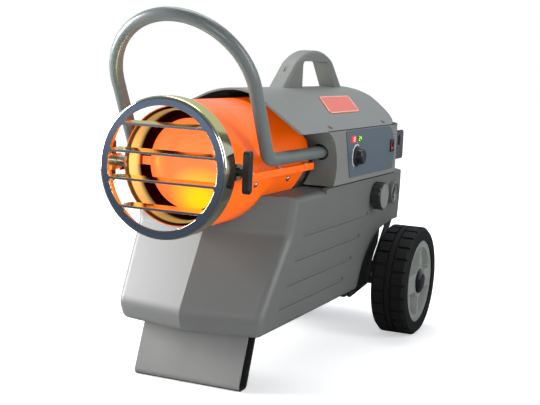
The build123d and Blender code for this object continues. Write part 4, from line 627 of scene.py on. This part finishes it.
# ---------------------------------------------------------------- hood and side housings
# Injection-moulded covers with dark strips of painted shade in their seams, a carry handle on top, and a
# sheared plate with a raised border on the hood's slope.
# ABS in a slightly lighter and greener grey than the tank, with the same grain. The handle is darker.
hood_plastic = moulded_plastic("grained_grey_cover_plastic", "#7E807B", 0.45, 1.0, 0.04)
dress(hood_plastic, "hood", "right_housing", "left_housing", "cover_screws")
handle_plastic = moulded_plastic("grained_grey_handle_plastic", "#747671", 0.5, 1.0, 0.04)
dress(handle_plastic, "carry_handle")
# The plate is smooth plastic in salmon red.
badge_plastic = moulded_plastic("salmon_plate_plastic", "#E8684E", 0.3, 1.0, 0.0)
dress(badge_plastic, "badge_plate")


def rounded(corners, radius, steps=6):
    """A closed outline with its corners cut by curves; corners lie further apart than twice the radius."""
    outline = []
    count = len(corners)
    for i, corner in enumerate(corners):
        before, after = corners[i - 1], corners[(i + 1) % count]
        start = corner + (before - corner).normalized() * radius
        end = corner + (after - corner).normalized() * radius
        for k in range(steps + 1):
            t = k / steps
            outline.append(start * (1 - t) ** 2 + corner * 2 * t * (1 - t) + end * t ** 2)
    return outline


plate_spot = Vector((86, 535, 462.66))
plate_tilt = radians(29.26)
plate_normal = Vector((sin(plate_tilt), 0, cos(plate_tilt)))
plate_upward = Vector((-cos(plate_tilt), 0, sin(plate_tilt)))
plate_half_long, plate_half_high, plate_half_shear = 77.5, 26.2, 28
plate_sheet = 1.2
border_lift = 0.1
border_corner = 10
border_r = 0.9
border_middle = plate_spot + plate_normal * (plate_sheet + border_lift)
plate_corners = [
    border_middle + Vector((0, u * plate_half_long + v * plate_half_shear, 0))
    + plate_upward * (v * plate_half_high)
    for u, v in ((-1, -1), (1, -1), (1, 1), (-1, 1))]
border = bmesh.new()
add_loop(border, rounded(plate_corners, border_corner), plate_normal, border_r)
# The same plastic in a pale tint.
border_plastic = moulded_plastic("pale_plate_border", "#FFD2C4", 0.35, 1.0, 0.0, 0.0)
finish_piece("plate_border", border, border_plastic, "heater_body", smooth=True)


def add_bar(mesh, low, high):
    """A box between two corners in millimetres."""
    made = bmesh.ops.create_cube(mesh, size=1)["verts"]
    low, high = at(*low), at(*high)
    for vert in made:
        vert.co = Vector([(low[i] + high[i]) / 2 + vert.co[i] * (high[i] - low[i]) for i in range(3)])


shade_strip_xs = (154.8, 155.4)
shade_strip_from, shade_strip_to = 306, 690
seams = ((324, 1.1), (424, 0.8))         # height of each seam, and half of its strip's height
shade_strips = bmesh.new()
for side in (-1, 1):
    low_x, high_x = sorted(side * x for x in shade_strip_xs)
    for seam_z, seam_half in seams:
        add_bar(shade_strips, (low_x, shade_strip_from, seam_z - seam_half), (high_x, shade_strip_to, seam_z + seam_half))
# A dark matt strip: painted shade that draws each seam's shadow as a dark line.
seam_shade_rubber = moulded_plastic("painted_seam_shade", "#232423", 0.7, 1.0, 0.0, 0.0)
finish_piece("seam_shade_strips", shade_strips, seam_shade_rubber, "heater_body")


# ---------------------------------------------------------------- control panel
# A printed sheet with two lit windows, the thermostat's dial and a rocker switch, with the thermostat,
# the board and the transformer behind it.
def lit(material, colour, strength):
    """Makes a plastic glow from behind."""
    shader = shader_of(material)
    shader.inputs["Emission Color"].default_value = linear(colour)
    shader.inputs["Emission Strength"].default_value = strength
    return material


# Polyester film, slate blue and smooth.
panel_sheet = moulded_plastic("slate_panel_film", "#53616B", 0.4, 0.8, 0.02)
dress(panel_sheet, "control_panel")
# Glossy clear-coloured plastic with a lamp behind it.
red_window = lit(moulded_plastic("red_window_plastic", "#B81810", 0.2, 1.0, 0.0, 0.0), "#FF3018", 0.35)
dress(red_window, "temperature_window")
green_window = lit(moulded_plastic("green_window_plastic", "#1C5A1E", 0.2, 1.0, 0.0, 0.0), "#2FA030", 0.18)
dress(green_window, "setpoint_window")
red_plastic = lit(moulded_plastic("lit_red_plastic", "#D81E14", 0.2, 1.0, 0.0, 0.0), "#FF2A10", 0.4)
dress(red_plastic, "power_rocker")
dress(black_plastic, "thermostat_knob", "switch_bezel", "thermostat", "ignition_transformer")
# Glass-fibre board under green lacquer.
circuit_board = moulded_plastic("green_circuit_board", "#12502F", 0.4, 1.0, 0.01)
dress(circuit_board, "control_board")

# The dial's scale is a pale arc that swells towards its middle, with seven plain ticks outside it.
dial_centre = (156.5, 454, 372)
scale_r = 20.6
scale_width = 3.2
scale_swell = 3              # steps by which the swelling starts before the arc
scale_angles = [radians(58 + i * 5) for i in range(37)]
scale_tick_rs = (25.2, 27.6)
scale_tick_half = 0.014      # radians
scale_tick_angles = [radians(58 + i * 30) for i in range(7)]
print_sheet = 0.15
swell_steps = len(scale_angles) - 1 + 2 * scale_swell
scale_widths = [
    scale_width * sin(pi * (i + scale_swell) / swell_steps) ** 0.5 for i in range(len(scale_angles))]
scale_inner = [around(dial_centre, scale_r, a) for a in scale_angles]
scale_outer = [around(dial_centre, scale_r + width, a) for a, width in zip(scale_angles, scale_widths)]
scale_mesh = bmesh.new()
add_print(scale_mesh, scale_inner + scale_outer[::-1], print_sheet)
add_ticks(scale_mesh, dial_centre, scale_tick_rs, scale_tick_angles, scale_tick_half, print_sheet)
# Screen-printed ink, near white.
scale_print = moulded_plastic("pale_panel_print", "#E4E8EA", 0.5, 1.0, 0.0, 0.0)
finish_piece("dial_scale", scale_mesh, scale_print, "heater_body")

# Two seven-segment figures light up in each window: the room's temperature and the wanted one.
segment_bars = {
    "top": (0, 8, 4.4, 9), "middle": (0, 4, 4.4, 5), "bottom": (0, 0, 4.4, 1),
    "left_high": (0, 5, 1, 8), "left_low": (0, 1, 1, 4),
    "right_high": (3.4, 5, 4.4, 8), "right_low": (3.4, 1, 4.4, 4)}
figures = {
    1: ("right_high", "right_low"),
    2: ("top", "right_high", "middle", "left_low", "bottom"),
    4: ("left_high", "right_high", "middle", "right_low"),
    8: ("top", "middle", "bottom", "left_high", "left_low", "right_high", "right_low")}
window_z = 405
figure_foot = window_z - 4.5
figure_starts = (-6, 1.6)
figure_xs = (157.1, 157.25)
figure_glow = 0.9
for name, window_y, shown, colour, slot in (
        ("temperature_figures", 434, (1, 8), "#FFD0C0", "red_window"),
        ("setpoint_figures", 468, (2, 4), "#D8FF60", "green_window")):
    segments = bmesh.new()
    for place, figure in zip(figure_starts, shown):
        start = window_y + place
        for bar in figures[figure]:
            y0, z0, y1, z1 = segment_bars[bar]
            low_corner = (figure_xs[0], start + y0, figure_foot + z0)
            high_corner = (figure_xs[1], start + y1, figure_foot + z1)
            add_bar(segments, low_corner, high_corner)
    # Light-emitting segments, brighter and paler than their window.
    segment_light = lit(moulded_plastic(name + "_light", colour, 0.3, 1.0, 0.0, 0.0), colour, figure_glow)
    finish_piece(name, segments, segment_light, "heater_body")


# ---------------------------------------------------------------- intake guard, gland and cord hooks
# A guard of welded wire over the air intake, two hooks of folded sheet beside it for the cord, and the
# moulded gland where the cord goes in.
# Powder coats, both half matt with a fine orange peel.
black_coat = enamel("black_powder_coat", "#232426", 0.55, 0.0, 1.0, 0.03)
dress(black_coat, "intake_guard")
hook_coat = enamel("slate_powder_coat", "#484C4F", 0.5, 0.0, 1.0, 0.03)
dress(hook_coat, "cord_hooks")
dress(black_plastic, "cord_gland")


# ---------------------------------------------------------------- front foot
# A folded steel channel screwed under the tank, leaning back.
# Its thin grey powder coat is paler and patchy on the front sheet; inside the channel it is painted dark, as
# painted shade.
foot_front = (0, -0.9397, 0.342)         # outward from the front sheet
channel_shade_full, channel_shade_none = 0.287, 0.291     # metres along it
foot_coat = moulded_plastic("thin_grey_powder_coat_painted_shade", "#858583", 0.42, 1.6, 0.06, 0.16)
foot_point = add(foot_coat, "ShaderNodeNewGeometry")
foot_depth = add(foot_coat, "ShaderNodeVectorMath", {
    0: foot_point.outputs["Position"], 1: foot_front}, operation="DOT_PRODUCT")
channel_shade_share = add(foot_coat, "ShaderNodeMapRange", {
    "Value": foot_depth.outputs["Value"], "From Min": channel_shade_full, "From Max": channel_shade_none,
    "To Min": 0.0, "To Max": 1.0})
paint_shade(foot_coat, channel_shade_share.outputs[0], "#2A2A2A")
dress(foot_coat, "front_foot")
dress(zinc, "foot_screws")


# ---------------------------------------------------------------- tow handle
# One bent steel tube that slides through plastic bushes and guides.
# Its powder coat is satin, in a greenish grey.
tube_coat = enamel("satin_grey_tube_coat", "#6C7371", 0.35, 0.1, 1.0, 0.02)
dress(tube_coat, "tow_handle")
dress(black_plastic, "handle_bushes", "handle_guides")


# ---------------------------------------------------------------- wheels
# Solid rubber tyres on moulded centres, on a plated axle under a folded bracket, with domed end caps.
# The rubber is dull and takes hardly any light, even at a low angle.
tyre_rubber = moulded_plastic("solid_black_rubber", "#151515", 0.72, 0.9, 0.04)
shader_of(tyre_rubber).inputs["Specular IOR Level"].default_value = 0.25
dress(tyre_rubber, "tyre_left", "tyre_right")
# Polypropylene, light grey with a soft sheen.
rim_plastic = moulded_plastic("grey_wheel_plastic", "#8B8E89", 0.4, 1.0, 0.03)
dress(rim_plastic, "rim_left", "rim_right")
# Polished ABS, which shows sharp reflections.
gloss_black = moulded_plastic("gloss_black_plastic", "#0E0E10", 0.14, 1.0, 0.0, 0.0, 0.5)
dress(gloss_black, "hub_caps")
dress(zinc, "axle")
dress(black_coat, "axle_bracket")


bpy.context.view_layer.update()
